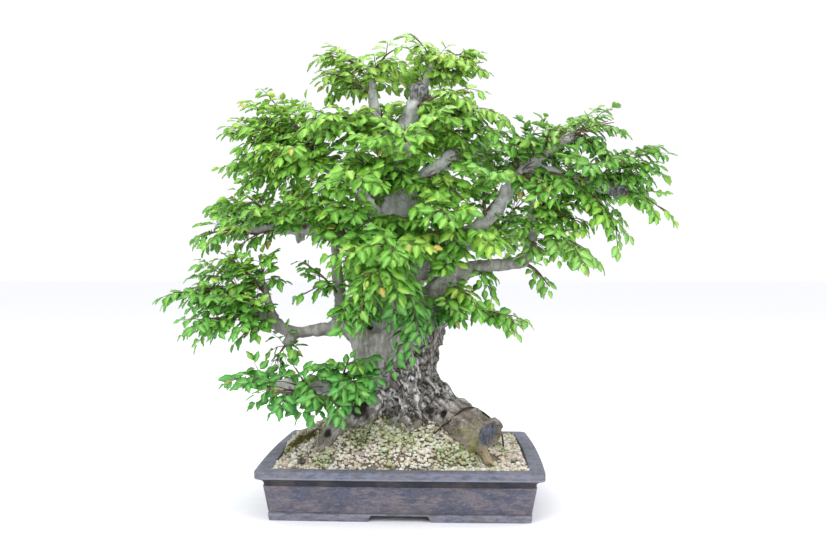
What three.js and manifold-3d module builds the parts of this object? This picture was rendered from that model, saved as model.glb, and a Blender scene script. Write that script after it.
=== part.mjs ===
// Oriental hornbeam bonsai in a rectangular clay pot.
// Millimetres, +Z up, origin on the table under the middle of the whole tree.
import * as THREE from 'three';
import { mergeVertices } from 'three/addons/utils/BufferGeometryUtils.js';
import Module from 'manifold-3d';

const wasm = await Module();
wasm.setup();

// Driving dimensions
const CLEARANCE = 0.3;
const POT_HALF_WIDTH = 250;
const POT_HALF_DEPTH = 188;
const POT_HEIGHT = 88;
const POT_SIDE_BOW = 5.4;
const POT_FRONT_BOW = 2.5;
const POT_CORNER_RADIUS = 11;
const POT_LEAST_CORNER_RADIUS = 4;
const POT_CORNER_TIGHTENING = 0.25;
const POT_CORNER_STEPS = 2;
const POT_SIDE_STEPS = { long: 4, short: 3 };
// Height and inset from the rim, up the outside of the pot: foot band, groove, leaning wall, cove and rim
const POT_OUTSIDE = [
  [0, 21.5], [12, 20], [12.6, 23], [13.8, 23], [15.5, 20.5], [60.5, 13],
  [61.5, 14.6], [67, 13], [71.5, 8], [74, 1.5], [76, 0], [86.5, 0], [POT_HEIGHT, 1.5],
];
const RIM_WIDTH = 26;
const FLOOR_HEIGHT = 22;
const INSIDE_DRAFT = 4;
const INSIDE_DRAFT_TOP = 60;
const OVERCUT = 1;
const FOOT_HEIGHT = 12;
const FOOT_WIDTH = 16;
const FOOT_INSET = 20;
const FOOT_GAP_TOP = 96;
const FOOT_GAP_BOTTOM = 112;
const DRAIN_RADIUS = 11;
const DRAIN_SPACING = 210;
const DRAIN_SIDES = 12;
const SCREEN_SIZE = 42;
const SCREEN_THICKNESS = 1.2;
const SCREEN_CELLS = 2;
const SCREEN_BAR = 3;

const SOIL_EDGE_HEIGHT = 85;
const SOIL_MOUND_HEIGHT = 80;
const SOIL_MOUND_CENTRE = [-15, 0];
const SOIL_MOUND_RADII = [215, 160];
const SOIL_MOUND_ROUNDING = 0.8;
const SOIL_GRAIN_RELIEF = 2.2;
const SOIL_SIDE_STEPS = { long: 6, short: 4 };
const SOIL_RINGS = 4;
const SOIL_OVERLAP = 4;
const SOIL_SEED = 31;
const SPRAY_SEED = 7;

const WIRE_DIAMETER = 3.2;

const LEAF_LENGTH = 46;
const LEAF_WIDTH = 26;
const LEAF_THICKNESS = 1.1;
const LEAF_ANGLE = 0.9;
const LEAF_SPACING = 30;
const LEAF_FOOT = 4;
const FIRST_LEAF = 10;
const RIB_HALF_WIDTH = 1.5;
const SHOOT_ARCH = 0.3;
const SIDE_DROOP = 0.62;
const SIDE_CURL = 0.01;
const LEAF_WAVE = 4;
const TWIG_SIDES = 3;
const TWIG_STEPS = 2;
const TWIG_LIFT = 0.1;
const TIP_RISE = 22;
const TWIG_TIP_RADIUS = 1.7;
const SHOOT_REACH = 108;
const MIN_TWIG_REACH = 40;

// The shoots of a spray: share of its twig, turn and tilt from the twig, and number of leaves
const SHOOTS = [
  { place: 0.6, turn: 0.95, tilt: -0.3, leafCounts: [4, 3] },
  { place: 0.96, turn: -0.2, tilt: 0.05, leafCounts: [4, 4] },
];

// A shoot is bent along a widening spiral of turns and tilts until it is clear of its neighbours
const BEND_TRIES = 90;
const BEND_STEP = 0.13;
const BEND_ANGLE = 2.4;
const BEND_ROLL = 0.5;

const UP = new THREE.Vector3(0, 0, 1);

// Finishes
const CLAY = new THREE.MeshStandardMaterial({ color: '#4f4c52', roughness: 0.8, metalness: 0 });
const MESH_PLASTIC = new THREE.MeshStandardMaterial({ color: '#2d3430', roughness: 0.7, metalness: 0 });
const GRAVEL = new THREE.MeshStandardMaterial({ color: '#cfc39c', roughness: 0.95, metalness: 0 });
const BARK = new THREE.MeshStandardMaterial({ color: '#8d8074', roughness: 0.9, metalness: 0 });
const TIE_WIRE = new THREE.MeshStandardMaterial({ color: '#3a332c', roughness: 0.55, metalness: 0.6 });
const FOLIAGE = new THREE.MeshStandardMaterial({ color: '#5f9a34', roughness: 0.6, metalness: 0 });

// Seeded draws, so that every build gives the same tree
function randomSource(seed) {
  let state = seed;
  return (low, high) => {
    state = (Math.imul(state, 1664525) + 1013904223) >>> 0;
    return low + (high - low) * (state / 4294967296);
  };
}

// A closed geometry, with its shared vertices merged, as a solid
function toSolid(geometry) {
  const bare = geometry.clone();
  bare.deleteAttribute('normal');
  bare.deleteAttribute('uv');
  const merged = mergeVertices(bare, 1e-4);
  return new wasm.Manifold(new wasm.Mesh({
    numProp: 3,
    vertProperties: Float32Array.from(merged.attributes.position.array),
    triVerts: Uint32Array.from(merged.index.array),
  }));
}

function toGeometry(solid) {
  const mesh = solid.getMesh();
  const geometry = new THREE.BufferGeometry();
  geometry.setAttribute('position', new THREE.BufferAttribute(mesh.vertProperties, 3));
  geometry.setIndex(new THREE.BufferAttribute(mesh.triVerts, 1));
  geometry.computeVertexNormals();
  return geometry;
}

function joinAll(solids) {
  return solids.reduce((whole, solid) => whole.add(solid));
}

// Moves every vertex of a geometry to the place that a rule gives for it
function reshape(geometry, rule) {
  const position = geometry.attributes.position;
  const point = new THREE.Vector3();
  for (let i = 0; i < position.count; i += 1) {
    point.fromBufferAttribute(position, i);
    const moved = rule(point);
    position.setXYZ(i, moved.x, moved.y, moved.z);
  }
  return geometry;
}

// Frames along a curve that turn as little as they can from one to the next
function framesAlong(curve, steps) {
  const frames = [];
  let side = new THREE.Vector3(1, 0, 0);
  for (let k = 0; k <= steps; k += 1) {
    const t = k / steps;
    const tangent = curve.getTangent(t).normalize();
    if (k === 0 && Math.abs(tangent.x) > 0.8) {
      side.set(0, 1, 0);
    }
    side = side.clone().addScaledVector(tangent, -side.dot(tangent)).normalize();
    const up = new THREE.Vector3().crossVectors(side, tangent);
    frames.push({ centre: curve.getPoint(t), tangent, side, up });
  }
  return frames;
}

// A run of wood or wire: a cylinder mapped onto a curve, with the radius that each of its points names.
// The skin rule scales the radius by angle and by place along the run.
function run(points, { sides = 8, steps = 8, skin = () => 1, extra = 0 } = {}) {
  const path = new THREE.CatmullRomCurve3(
    points.map(([x, y, z]) => new THREE.Vector3(x, y, z)), false, 'centripetal',
  );
  const span = points.length - 1;
  const radiusAt = (t) => {
    const place = Math.min(t * span, span - 1e-9);
    const index = Math.floor(place);
    return THREE.MathUtils.lerp(points[index][3], points[index + 1][3], place - index);
  };
  const frames = framesAlong(path, steps);
  const geometry = new THREE.CylinderGeometry(1, 1, 1, sides, steps);
  return reshape(geometry, (point) => {
    const k = Math.round((point.y + 0.5) * steps);
    const { centre, tangent, side, up } = frames[k];
    const angle = Math.atan2(point.z, point.x);
    const place = k / steps;
    const isOnAxis = Math.hypot(point.x, point.z) < 0.5;
    const reach = isOnAxis ? 0 : radiusAt(place) * skin(angle, place) + extra;
    const endward = (k === steps ? extra : 0) - (k === 0 ? extra : 0);
    return centre.clone()
      .addScaledVector(tangent, endward)
      .addScaledVector(side, Math.cos(angle) * reach)
      .addScaledVector(up, Math.sin(angle) * reach);
  });
}

// Plan of the pot: a rectangle with rounded corners and slightly bowed sides, inset from the rim
function potPlan(inset, sideSteps = POT_SIDE_STEPS) {
  const halfWidth = POT_HALF_WIDTH - POT_SIDE_BOW - inset;
  const halfDepth = POT_HALF_DEPTH - POT_FRONT_BOW - inset;
  const radius = Math.max(POT_CORNER_RADIUS - inset * POT_CORNER_TIGHTENING, POT_LEAST_CORNER_RADIUS);
  const corners = [[1, -1, -90], [1, 1, 0], [-1, 1, 90], [-1, -1, 180]];
  const points = [];
  corners.forEach(([signX, signY, startAngle], corner) => {
    for (let k = 0; k <= POT_CORNER_STEPS; k += 1) {
      const angle = THREE.MathUtils.degToRad(startAngle + (90 * k) / POT_CORNER_STEPS);
      const x = signX * (halfWidth - radius) + radius * Math.cos(angle);
      const y = signY * (halfDepth - radius) + radius * Math.sin(angle);
      points.push([x, y]);
    }
    const isShortSide = corner % 2 === 0;
    const steps = isShortSide ? sideSteps.short : sideSteps.long;
    for (let k = 1; k < steps; k += 1) {
      const along = -1 + (2 * k) / steps;
      const bulge = 1 - along * along;
      if (isShortSide) {
        points.push([signX * (halfWidth + POT_SIDE_BOW * bulge), signX * along * (halfDepth - radius)]);
      } else {
        points.push([-signY * along * (halfWidth - radius), signY * (halfDepth + POT_FRONT_BOW * bulge)]);
      }
    }
  });
  return points;
}

// A closed stack of rings of plan points, lowest first. The height rule gives z for ring k at (x, y).
function ringStack(plans, heightOf) {
  const sides = plans[0].length;
  const steps = plans.length - 1;
  const geometry = new THREE.CylinderGeometry(1, 1, 1, sides, steps);
  return toSolid(reshape(geometry, (point) => {
    const k = Math.round((point.y + 0.5) * steps);
    if (Math.hypot(point.x, point.z) < 0.5) {
      return new THREE.Vector3(0, 0, heightOf(k, 0, 0));
    }
    const turn = Math.atan2(-point.z, point.x) / (2 * Math.PI);
    const [x, y] = plans[k][Math.round((turn + 1) * sides) % sides];
    return new THREE.Vector3(x, y, heightOf(k, x, y));
  }));
}

// A closed stack of pot plans, each with its height and inset
function potStack(profile) {
  return ringStack(profile.map(([, inset]) => potPlan(inset)), (k) => profile[k][0]);
}

function makePot() {
  const outside = potStack(POT_OUTSIDE);
  const inside = potStack([
    [FLOOR_HEIGHT, RIM_WIDTH + INSIDE_DRAFT],
    [INSIDE_DRAFT_TOP, RIM_WIDTH],
    [POT_HEIGHT + OVERCUT, RIM_WIDTH],
  ]);
  const footInside = FOOT_INSET + FOOT_WIDTH;
  const recess = potStack([[-OVERCUT, footInside + OVERCUT], [FOOT_HEIGHT - OVERCUT, footInside]]);
  const gapShape = new THREE.Shape([
    new THREE.Vector2(-FOOT_GAP_BOTTOM / 2, -OVERCUT),
    new THREE.Vector2(FOOT_GAP_BOTTOM / 2, -OVERCUT),
    new THREE.Vector2(FOOT_GAP_TOP / 2, FOOT_HEIGHT - OVERCUT),
    new THREE.Vector2(-FOOT_GAP_TOP / 2, FOOT_HEIGHT - OVERCUT),
  ]);
  const gapLength = 2.2 * POT_HALF_WIDTH;
  const gap = new THREE.ExtrudeGeometry(gapShape, { depth: gapLength, bevelEnabled: false });
  gap.translate(0, 0, -gapLength / 2);
  gap.rotateX(Math.PI / 2);
  const drains = [-1, 1].map((sign) => {
    const hole = new THREE.CylinderGeometry(DRAIN_RADIUS, DRAIN_RADIUS, 2 * FLOOR_HEIGHT, DRAIN_SIDES);
    hole.rotateX(Math.PI / 2);
    hole.translate(sign * DRAIN_SPACING / 2, 0, FLOOR_HEIGHT);
    return toSolid(hole);
  });
  const cuts = [inside, recess, toSolid(gap), toSolid(gap.clone().rotateZ(Math.PI / 2)), ...drains];
  return cuts.reduce((body, cut) => body.subtract(cut), outside);
}

// A square of coarse plastic mesh that lies over a drain hole
function makeDrainScreen(sign) {
  const pitch = (SCREEN_SIZE - SCREEN_BAR) / SCREEN_CELLS;
  const cell = pitch - SCREEN_BAR;
  let screen = toSolid(new THREE.BoxGeometry(SCREEN_SIZE, SCREEN_SIZE, SCREEN_THICKNESS));
  for (let column = 0; column < SCREEN_CELLS; column += 1) {
    for (let row = 0; row < SCREEN_CELLS; row += 1) {
      const opening = new THREE.BoxGeometry(cell, cell, 2 * SCREEN_THICKNESS);
      const middleCell = (SCREEN_CELLS - 1) / 2;
      opening.translate((column - middleCell) * pitch, (row - middleCell) * pitch, 0);
      screen = screen.subtract(toSolid(opening));
    }
  }
  const height = FLOOR_HEIGHT + CLEARANCE + SCREEN_THICKNESS / 2;
  return toSolid(toGeometry(screen).translate(sign * DRAIN_SPACING / 2, 0, height));
}

// Height of the mounded soil
function groundHeight(x, y) {
  const acrossX = (x - SOIL_MOUND_CENTRE[0]) / SOIL_MOUND_RADII[0];
  const acrossY = (y - SOIL_MOUND_CENTRE[1]) / SOIL_MOUND_RADII[1];
  const rise = Math.max(0, 1 - acrossX * acrossX - acrossY * acrossY);
  return SOIL_EDGE_HEIGHT + SOIL_MOUND_HEIGHT * Math.pow(rise, SOIL_MOUND_ROUNDING);
}

// Soil: the pot's inside filled up to a grainy mound, with plain holes where wood and wire stand in it
function makeSoil(holes) {
  const bottom = FLOOR_HEIGHT + CLEARANCE;
  const edge = potPlan(RIM_WIDTH - SOIL_OVERLAP, SOIL_SIDE_STEPS);
  const plans = [edge, edge];
  for (let ring = 1; ring < SOIL_RINGS; ring += 1) {
    const share = 1 - ring / SOIL_RINGS;
    plans.push(edge.map(([x, y]) => [x * share, y * share]));
  }
  const draw = randomSource(SOIL_SEED);
  const relief = plans.map((plan) => plan.map(() => draw(-SOIL_GRAIN_RELIEF, SOIL_GRAIN_RELIEF)));
  const body = ringStack(plans, (k, x, y) => {
    if (k === 0) {
      return bottom;
    }
    const index = plans[k].findIndex(([planX, planY]) => planX === x && planY === y);
    return groundHeight(x, y) + (index < 0 ? 0 : relief[k][index]);
  });
  const pockets = [-1, 1].map((sign) => {
    const size = SCREEN_SIZE + 4 * CLEARANCE;
    const pocket = new THREE.BoxGeometry(size, size, 2 * (SCREEN_THICKNESS + 2 * CLEARANCE));
    return toSolid(pocket.translate(sign * DRAIN_SPACING / 2, 0, bottom));
  });
  const fill = potStack([
    [bottom - OVERCUT, RIM_WIDTH + INSIDE_DRAFT + CLEARANCE],
    [INSIDE_DRAFT_TOP, RIM_WIDTH + CLEARANCE],
    [2 * POT_HEIGHT, RIM_WIDTH + CLEARANCE],
  ]);
  return [...pockets, ...holes].reduce((rest, cut) => rest.subtract(cut), body.intersect(fill));
}

// Trunk and limbs, each a list of [x, y, z, radius]
const TRUNK_BASE = [
  [-8, 0, 62, 118], [-8, 0, 110, 112], [-8, 0, 150, 100], [-10, 0, 185, 84], [-14, 0, 225, 76],
  [-20, 2, 265, 80], [-26, 4, 305, 82], [-24, 6, 345, 66],
];
const ROOTS = [
  [[30, -20, 212, 36], [72, -34, 176, 36], [104, -48, 158, 33], [132, -62, 142, 30], [158, -80, 130, 25]],
  [[94, -62, 152, 26], [108, -82, 139, 26], [117, -95, 118, 16], [120, -100, 98, 8]],
  [[118, -66, 134, 20], [138, -90, 118, 15], [150, -104, 100, 12], [157, -110, 82, 9]],
  [[-48, -40, 188, 34], [-90, -74, 166, 22], [-114, -92, 140, 16], [-138, -104, 112, 12], [-154, -110, 90, 8]],
  [[-60, 30, 170, 34], [-118, 52, 132, 24], [-165, 68, 92, 13]],
  [[30, 40, 175, 36], [84, 78, 134, 24], [118, 104, 92, 13]],
  [[-20, 40, 165, 34], [-34, 96, 128, 22], [-44, 132, 90, 12]],
];
const LIMBS = {
  central: [[-24, 4, 300, 66], [-34, 12, 385, 55], [-30, 18, 460, 46], [-14, 20, 540, 38], [-8, 16, 605, 31],
    [0, 10, 662, 23], [10, 0, 712, 17], [29, -8, 752, 16]],
  leader: [[-10, 20, 590, 20], [-44, 24, 690, 13], [-62, 18, 757, 10], [-58, 8, 808, 7]],
  apex: [[0, 12, 650, 16], [24, 38, 720, 12], [38, 34, 780, 9], [56, 22, 826, 6]],
  right_low: [[20, -2, 300, 52], [58, -10, 372, 34], [90, -15, 414, 24], [135, -18, 430, 17],
    [181, -20, 436, 14], [222, -20, 444, 14], [236, -20, 478, 11], [240, -18, 525, 9], [238, -12, 568, 7]],
  right_mid: [[0, 6, 420, 34], [60, 0, 464, 24], [115, -5, 490, 18], [152, -8, 517, 16], [176, -8, 546, 14],
    [194, -5, 575, 14], [220, 0, 610, 13], [262, -2, 645, 11], [322, -8, 680, 10]],
  right_far: [[214, 0, 602, 13], [262, -4, 610, 12], [325, -12, 590, 12], [366, -20, 582, 13], [394, -32, 573, 14]],
  left: [[-64, -5, 296, 26], [-112, -10, 318, 16], [-158, -15, 314, 12], [-196, -20, 310, 11], [-230, -22, 318, 11],
    [-268, -25, 340, 9], [-314, -30, 353, 6]],
  left_fork: [[-226, -22, 316, 10], [-246, -20, 345, 8], [-257, -15, 376, 7], [-264, -10, 404, 5]],
  left_knob: [[-204, -20, 310, 9], [-212, -26, 296, 12], [-218, -30, 284, 9]],
  left_upright: [[-78, 0, 296, 24], [-113, 0, 332, 14], [-123, 2, 378, 12], [-128, 5, 432, 10],
    [-134, 10, 495, 8], [-148, 15, 560, 6]],
  left_upright_stub: [[-118, -2, 345, 8], [-140, -10, 344, 7]],
  mid_left: [[-30, 15, 400, 30], [-100, 25, 446, 18], [-170, 20, 470, 15], [-236, 12, 488, 13], [-300, 0, 500, 9]],
  upper_left: [[-15, 20, 540, 24], [-80, 30, 592, 16], [-160, 25, 628, 11], [-238, 10, 656, 7]],
  low_left: [[-50, -40, 196, 24], [-112, -74, 207, 14], [-168, -94, 202, 11], [-226, -106, 212, 8]],
  mid_stub: [[-6, -2, 565, 20], [38, -30, 600, 13], [70, -36, 622, 12], [94, -40, 641, 12]],
  back_low: [[-20, 30, 375, 32], [-15, 110, 422, 16], [0, 178, 440, 9]],
  back_mid: [[0, 25, 500, 26], [-14, 110, 552, 14], [-26, 196, 592, 8]],
  back_left: [[-30, 25, 450, 26], [-110, 105, 502, 13], [-196, 150, 530, 8]],
  back_right: [[20, 10, 425, 28], [110, 84, 472, 14], [172, 140, 486, 8]],
  back_high: [[-5, 20, 620, 18], [-40, 84, 682, 10], [-66, 122, 702, 6]],
  back_right_high: [[0, 20, 560, 20], [70, 96, 628, 11], [106, 150, 660, 7]],
  front: [[-15, -10, 430, 26], [-22, -90, 458, 13], [-18, -160, 462, 8]],
  front_high: [[0, 0, 590, 18], [8, -72, 640, 9], [10, -110, 652, 6]],
  front_right: [[56, 0, 462, 16], [82, -80, 498, 10], [84, -130, 508, 7]],
  front_left: [[-34, 0, 500, 18], [-64, -80, 552, 10], [-74, -128, 566, 7]],
};
const THIN_LIMBS = {
  hanging_stub_a: [[-196, 12, 476, 5], [-197, 6, 455, 4.5]],
  hanging_stub_b: [[-186, 12, 474, 4], [-187, 9, 452, 3.5]],
  flank_stub: [[-86, -20, 250, 7], [-104, -34, 252, 5]],
};

// Callus knobs on the cut ends, each [x, y, z, radius]
const KNOBS = [[29, -8, 757, 21], [394, -32, 573, 17], [92, -39, 640, 14]];

// Leafy sprays: where each grows from, with the twig's radius there, and where its foliage ends
const SPRAYS = {
  apex: [
    [[46, 29, 800, 5], [138, -20, 800]], [[55, 22, 822, 5], [85, 40, 872]], [[-58, 8, 804, 5], [-2, -70, 856]],
    [[14, -4, 726, 6], [112, -120, 736]], [[36, 34, 775, 5], [46, 136, 846]],
  ],
  crown_left: [[[-62, 18, 757, 5], [-160, -40, 782]], [[-60, 12, 780, 5], [-150, 100, 780]]],
  upper_left: [
    [[-236, 10, 655, 5], [-342, -20, 672]], [[-160, 25, 628, 6], [-276, 56, 752]],
    [[-196, 20, 640, 5], [-355, 95, 606]], [[-150, 25, 625, 6], [-243, -120, 612]],
    [[-56, 22, 715, 5], [-180, -90, 706]],
  ],
  mid_left: [
    [[-280, 4, 496, 6], [-410, -10, 486]], [[-236, 12, 488, 6], [-392, 90, 550]],
    [[-180, 18, 472, 6], [-250, -114, 496]],
  ],
  low_left: [
    [[-306, -29, 351, 5], [-451, -30, 367]], [[-268, -25, 340, 5], [-425, 56, 440]],
    [[-255, -24, 332, 5], [-385, -100, 316]], [[-263, -12, 400, 4], [-262, -76, 446]],
    [[-246, -20, 345, 5], [-300, -118, 352]],
  ],
  hang_left: [[[-218, -30, 288, 5], [-240, -64, 222]]],
  skirt_left: [
    [[-222, -105, 211, 5], [-311, -120, 226]], [[-170, -95, 202, 5], [-220, -196, 191]],
    [[-120, -76, 206, 6], [-96, -212, 190]], [[-84, -60, 203, 7], [-30, -200, 236]],
  ],
  front: [
    [[9, -106, 651, 5], [9, -200, 660]], [[-74, -126, 566, 5], [-80, -214, 572]],
    [[84, -128, 508, 5], [88, -216, 520]], [[-18, -158, 462, 6], [-2, -262, 446]],
    [[-22, -100, 460, 6], [-100, -192, 428]], [[152, -8, 517, 6], [122, -170, 604]],
    [[-8, 10, 625, 7], [62, -140, 704]], [[-20, -130, 461, 5], [-56, -200, 348]],
    [[83, -84, 499, 5], [152, -190, 440]],
  ],
  hang_front: [[[-20, -120, 462, 5], [32, -168, 300]]],
  upper_right: [
    [[345, -15, 586, 6], [492, -10, 636]], [[318, -11, 591, 6], [456, 112, 556]],
    [[252, -1, 636, 6], [404, 40, 722]], [[262, -2, 645, 6], [268, -90, 694]],
    [[325, -12, 590, 6], [342, -130, 598]], [[240, 0, 626, 6], [296, 160, 640]],
  ],
  mid_right: [
    [[325, -12, 586, 6], [426, -60, 481]], [[238, -20, 500, 5], [348, -92, 430]],
    [[222, -20, 440, 6], [284, -40, 374]],
  ],
  low_right: [[[58, -10, 350, 8], [236, -60, 300]]],
  back: [
    [[-15, 115, 424, 6], [-142, 226, 400]], [[0, 174, 439, 6], [66, 266, 384]],
    [[172, 138, 486, 6], [236, 210, 470]], [[-192, 148, 529, 6], [-298, 200, 544]],
    [[-26, 190, 590, 6], [-35, 284, 605]], [[105, 148, 659, 6], [152, 226, 686]],
    [[-58, 108, 695, 5], [-118, 200, 720]],
  ],
};

// Wood skin: shallow flutes that deepen towards the roots, and small lumps
function trunkSkin(angle, t) {
  const flare = Math.pow(1 - t, 1.5);
  const flutes = 0.13 * Math.cos(5 * angle + 0.6) + 0.07 * Math.cos(8 * angle + 4 * t);
  const slim = 1 - 0.12 * Math.pow(Math.sin(angle), 2);
  return slim * (1 + flutes * (0.4 + flare) + 0.03 * Math.sin(11 * t + 3 * angle));
}

function limbSkin(seed) {
  return (angle, t) => 1 + 0.07 * Math.sin(3 * angle + seed + 5 * t) + 0.06 * Math.sin(19 * t + seed * 2 + angle);
}

const BASE_DETAIL = { sides: 18, steps: 7, skin: trunkSkin };
const ROOT_DETAIL = { sides: 6, steps: 4, skin: limbSkin(2) };

// The wood as one solid. The extra grows it all round, for a cut that leaves a gap.
function makeWood(extra) {
  const parts = [toSolid(run(TRUNK_BASE, { ...BASE_DETAIL, extra }))];
  ROOTS.forEach((root) => parts.push(toSolid(run(root, { ...ROOT_DETAIL, extra }))));
  Object.values(LIMBS).forEach((limb, index) => {
    const girth = limb[0][3];
    const slimSides = girth > 30 ? 6 : 5;
    const detail = { sides: girth > 40 ? 9 : slimSides, steps: limb.length - 1, skin: limbSkin(index), extra };
    parts.push(toSolid(run(limb, detail)));
  });
  Object.values(THIN_LIMBS).forEach((stub) => parts.push(toSolid(run(stub, { sides: 5, steps: 1, extra }))));
  KNOBS.forEach(([x, y, z, radius], index) => {
    const knob = reshape(new THREE.IcosahedronGeometry(radius + extra, 1), (point) => {
      const lump = 1 + 0.1 * Math.sin(0.35 * point.x + index) * Math.cos(0.3 * point.z);
      return point.clone().multiplyScalar(lump);
    });
    parts.push(toSolid(knob.translate(x, y, z)));
  });
  return joinAll(parts);
}

// The wood below ground, grown by the clearance, which the soil is cut by
function rootHoles() {
  const base = run(TRUNK_BASE, { ...BASE_DETAIL, extra: 1.5 * CLEARANCE });
  const roots = ROOTS.map((root) => toSolid(run(root, { ...ROOT_DETAIL, extra: 1.5 * CLEARANCE })));
  return [toSolid(base), ...roots];
}

// The dark tie wire over the right root, with both ends in the soil
const WIRE_ROUTE = [
  [42, -108, 104], [50, -100, 128], [68, -92, 145], [86, -86, 158], [99, -82, 169], [113, -76, 178], [129, -65, 178],
  [146, -55, 168], [161, -48, 155], [176, -42, 138], [183, -34, 116], [185, -28, 78],
];

function makeWire(extra) {
  const radius = WIRE_DIAMETER / 2;
  return toSolid(run(WIRE_ROUTE.map((point) => [...point, radius]), { sides: 6, steps: 12, extra }));
}

// Outline of one side leaf, in the order from its foot's near end, round its tip, to its foot's far end
function sideLeaf(place, side, length, angle) {
  const along = [Math.cos(angle), side * Math.sin(angle)];
  const back = [-Math.sin(angle), side * Math.cos(angle)];
  const edge = [[0.36, 0.52], [1, 0], [0.5, -0.5]];
  const points = edge.map(([share, across]) => new THREE.Vector2(
    place + share * length * along[0] + across * LEAF_WIDTH * back[0],
    side * RIB_HALF_WIDTH + share * length * along[1] + across * LEAF_WIDTH * back[1],
  ));
  const near = new THREE.Vector2(place - LEAF_FOOT / 2, side * RIB_HALF_WIDTH);
  const far = new THREE.Vector2(place + LEAF_FOOT / 2, side * RIB_HALF_WIDTH);
  return [near, ...points, far];
}

// Outline of one shoot: a slim rib with pointed leaves cut to it, left and right in turn, and one at its end
function shootOutline(leafCount, firstSide, draw) {
  const sideCount = leafCount - 1;
  const edges = { left: [], right: [] };
  for (let i = 0; i < sideCount; i += 1) {
    const place = FIRST_LEAF + (i * LEAF_SPACING) / 2;
    const length = LEAF_LENGTH * draw(0.84, 1.08);
    const angle = LEAF_ANGLE + draw(-0.08, 0.08);
    const side = i % 2 === 0 ? firstSide : -firstSide;
    const edge = side > 0 ? edges.left : edges.right;
    edge.push(...sideLeaf(place, side, length, angle));
  }
  const ribLength = FIRST_LEAF + (sideCount * LEAF_SPACING) / 2;
  const end = [[0, -RIB_HALF_WIDTH], [0.4, -0.5 * LEAF_WIDTH], [1, 0], [0.5, 0.48 * LEAF_WIDTH], [0, RIB_HALF_WIDTH]];
  const endLeaf = end.map(([share, across]) => new THREE.Vector2(ribLength + share * LEAF_LENGTH, across));
  const foot = [new THREE.Vector2(0, RIB_HALF_WIDTH), new THREE.Vector2(0, -RIB_HALF_WIDTH)];
  return {
    shape: new THREE.Shape([...foot, ...edges.right, ...endLeaf, ...edges.left.reverse()]),
    length: ribLength + LEAF_LENGTH,
  };
}

// A shoot as a thin blade, arched along its rib and drooping to both sides. The margin thickens it.
function makeShoot(outline, origin, heading, roll, phase, margin = 0) {
  const across = UP.clone().cross(heading).normalize().applyAxisAngle(heading, roll);
  const up = new THREE.Vector3().crossVectors(heading, across);
  const depth = LEAF_THICKNESS + 2 * margin;
  const blade = new THREE.ExtrudeGeometry(outline.shape, { depth, bevelEnabled: false });
  return toSolid(reshape(blade, ({ x, y, z }) => {
    const spread = Math.min(Math.abs(y) / LEAF_LENGTH, 1);
    const arch = SHOOT_ARCH * x * x / outline.length;
    const droop = SIDE_DROOP * Math.abs(y) + SIDE_CURL * y * y;
    const wave = LEAF_WAVE * spread * Math.sin(0.16 * x + phase);
    return origin.clone()
      .addScaledVector(heading, x)
      .addScaledVector(across, y)
      .addScaledVector(up, z - margin - arch - droop + wave);
  }));
}

function boxesTouch(first, second) {
  const a = first.boundingBox();
  const b = second.boundingBox();
  return [0, 1, 2].every((axis) => a.min[axis] < b.max[axis] && b.min[axis] < a.max[axis]);
}

function isClear(solid, others) {
  return others.every((other) => !boxesTouch(solid, other) || solid.intersect(other).isEmpty());
}

// The twig of one spray as a run of points, from the limb that it grows from towards its foliage
function twigPoints([startPoint, endPoint]) {
  const start = new THREE.Vector3(...startPoint);
  const toEnd = new THREE.Vector3(...endPoint).sub(start);
  toEnd.z += TIP_RISE;
  const reach = toEnd.length();
  const twigReach = Math.max(reach - SHOOT_REACH, MIN_TWIG_REACH);
  const tip = start.clone().addScaledVector(toEnd, twigReach / reach);
  const middle = start.clone().lerp(tip, 0.5).add(new THREE.Vector3(0, 0, twigReach * TWIG_LIFT));
  const radius = startPoint[3];
  return [
    [...start.toArray(), radius],
    [...middle.toArray(), THREE.MathUtils.lerp(radius, TWIG_TIP_RADIUS, 0.6)],
    [...tip.toArray(), TWIG_TIP_RADIUS],
  ];
}

// Adds the shoots to one twig, each turned until it is clear of everything else
function addShoots({ points, side, twig }, others, draw) {
  let spray = twig;
  const shoots = [];
  const path = new THREE.CatmullRomCurve3(
    points.map(([x, y, z]) => new THREE.Vector3(x, y, z)), false, 'centripetal',
  );
  SHOOTS.forEach(({ place, turn, tilt, leafCounts }) => {
    const origin = path.getPoint(place).add(new THREE.Vector3(0, 0, -LEAF_THICKNESS / 2));
    const outline = shootOutline(leafCounts[side > 0 ? 0 : 1], side, draw);
    const level = path.getTangent(place).setZ(0).normalize();
    const firstTurn = side * turn * draw(0.85, 1.15);
    const firstTilt = tilt + draw(-0.2, 0.2);
    const roll = draw(-0.7, 0.7);
    const phase = draw(0, 2 * Math.PI);
    for (let attempt = 0; attempt < BEND_TRIES; attempt += 1) {
      const bend = BEND_STEP * Math.sqrt(attempt);
      const heading = level.clone();
      heading.applyAxisAngle(UP, firstTurn + bend * Math.cos(BEND_ANGLE * attempt));
      const across = UP.clone().cross(heading).normalize();
      heading.applyAxisAngle(across, -firstTilt - bend * Math.sin(BEND_ANGLE * attempt));
      const pose = [outline, origin, heading, roll + BEND_ROLL * bend * Math.cos(attempt), phase];
      if (isClear(makeShoot(...pose, CLEARANCE), [...others, ...shoots])) {
        const shoot = makeShoot(...pose);
        shoots.push(shoot);
        spray = spray.add(shoot);
        return;
      }
    }
  });
  return spray;
}

function makeMesh(name, solid, material) {
  const mesh = new THREE.Mesh(toGeometry(solid), material);
  mesh.name = name;
  return mesh;
}

const wire = makeWire(0);
const wireGap = makeWire(CLEARANCE);
const wood = makeWood(0).subtract(wireGap);
const grownWood = makeWood(CLEARANCE);
const soil = makeSoil([...rootHoles(), wireGap]);

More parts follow.
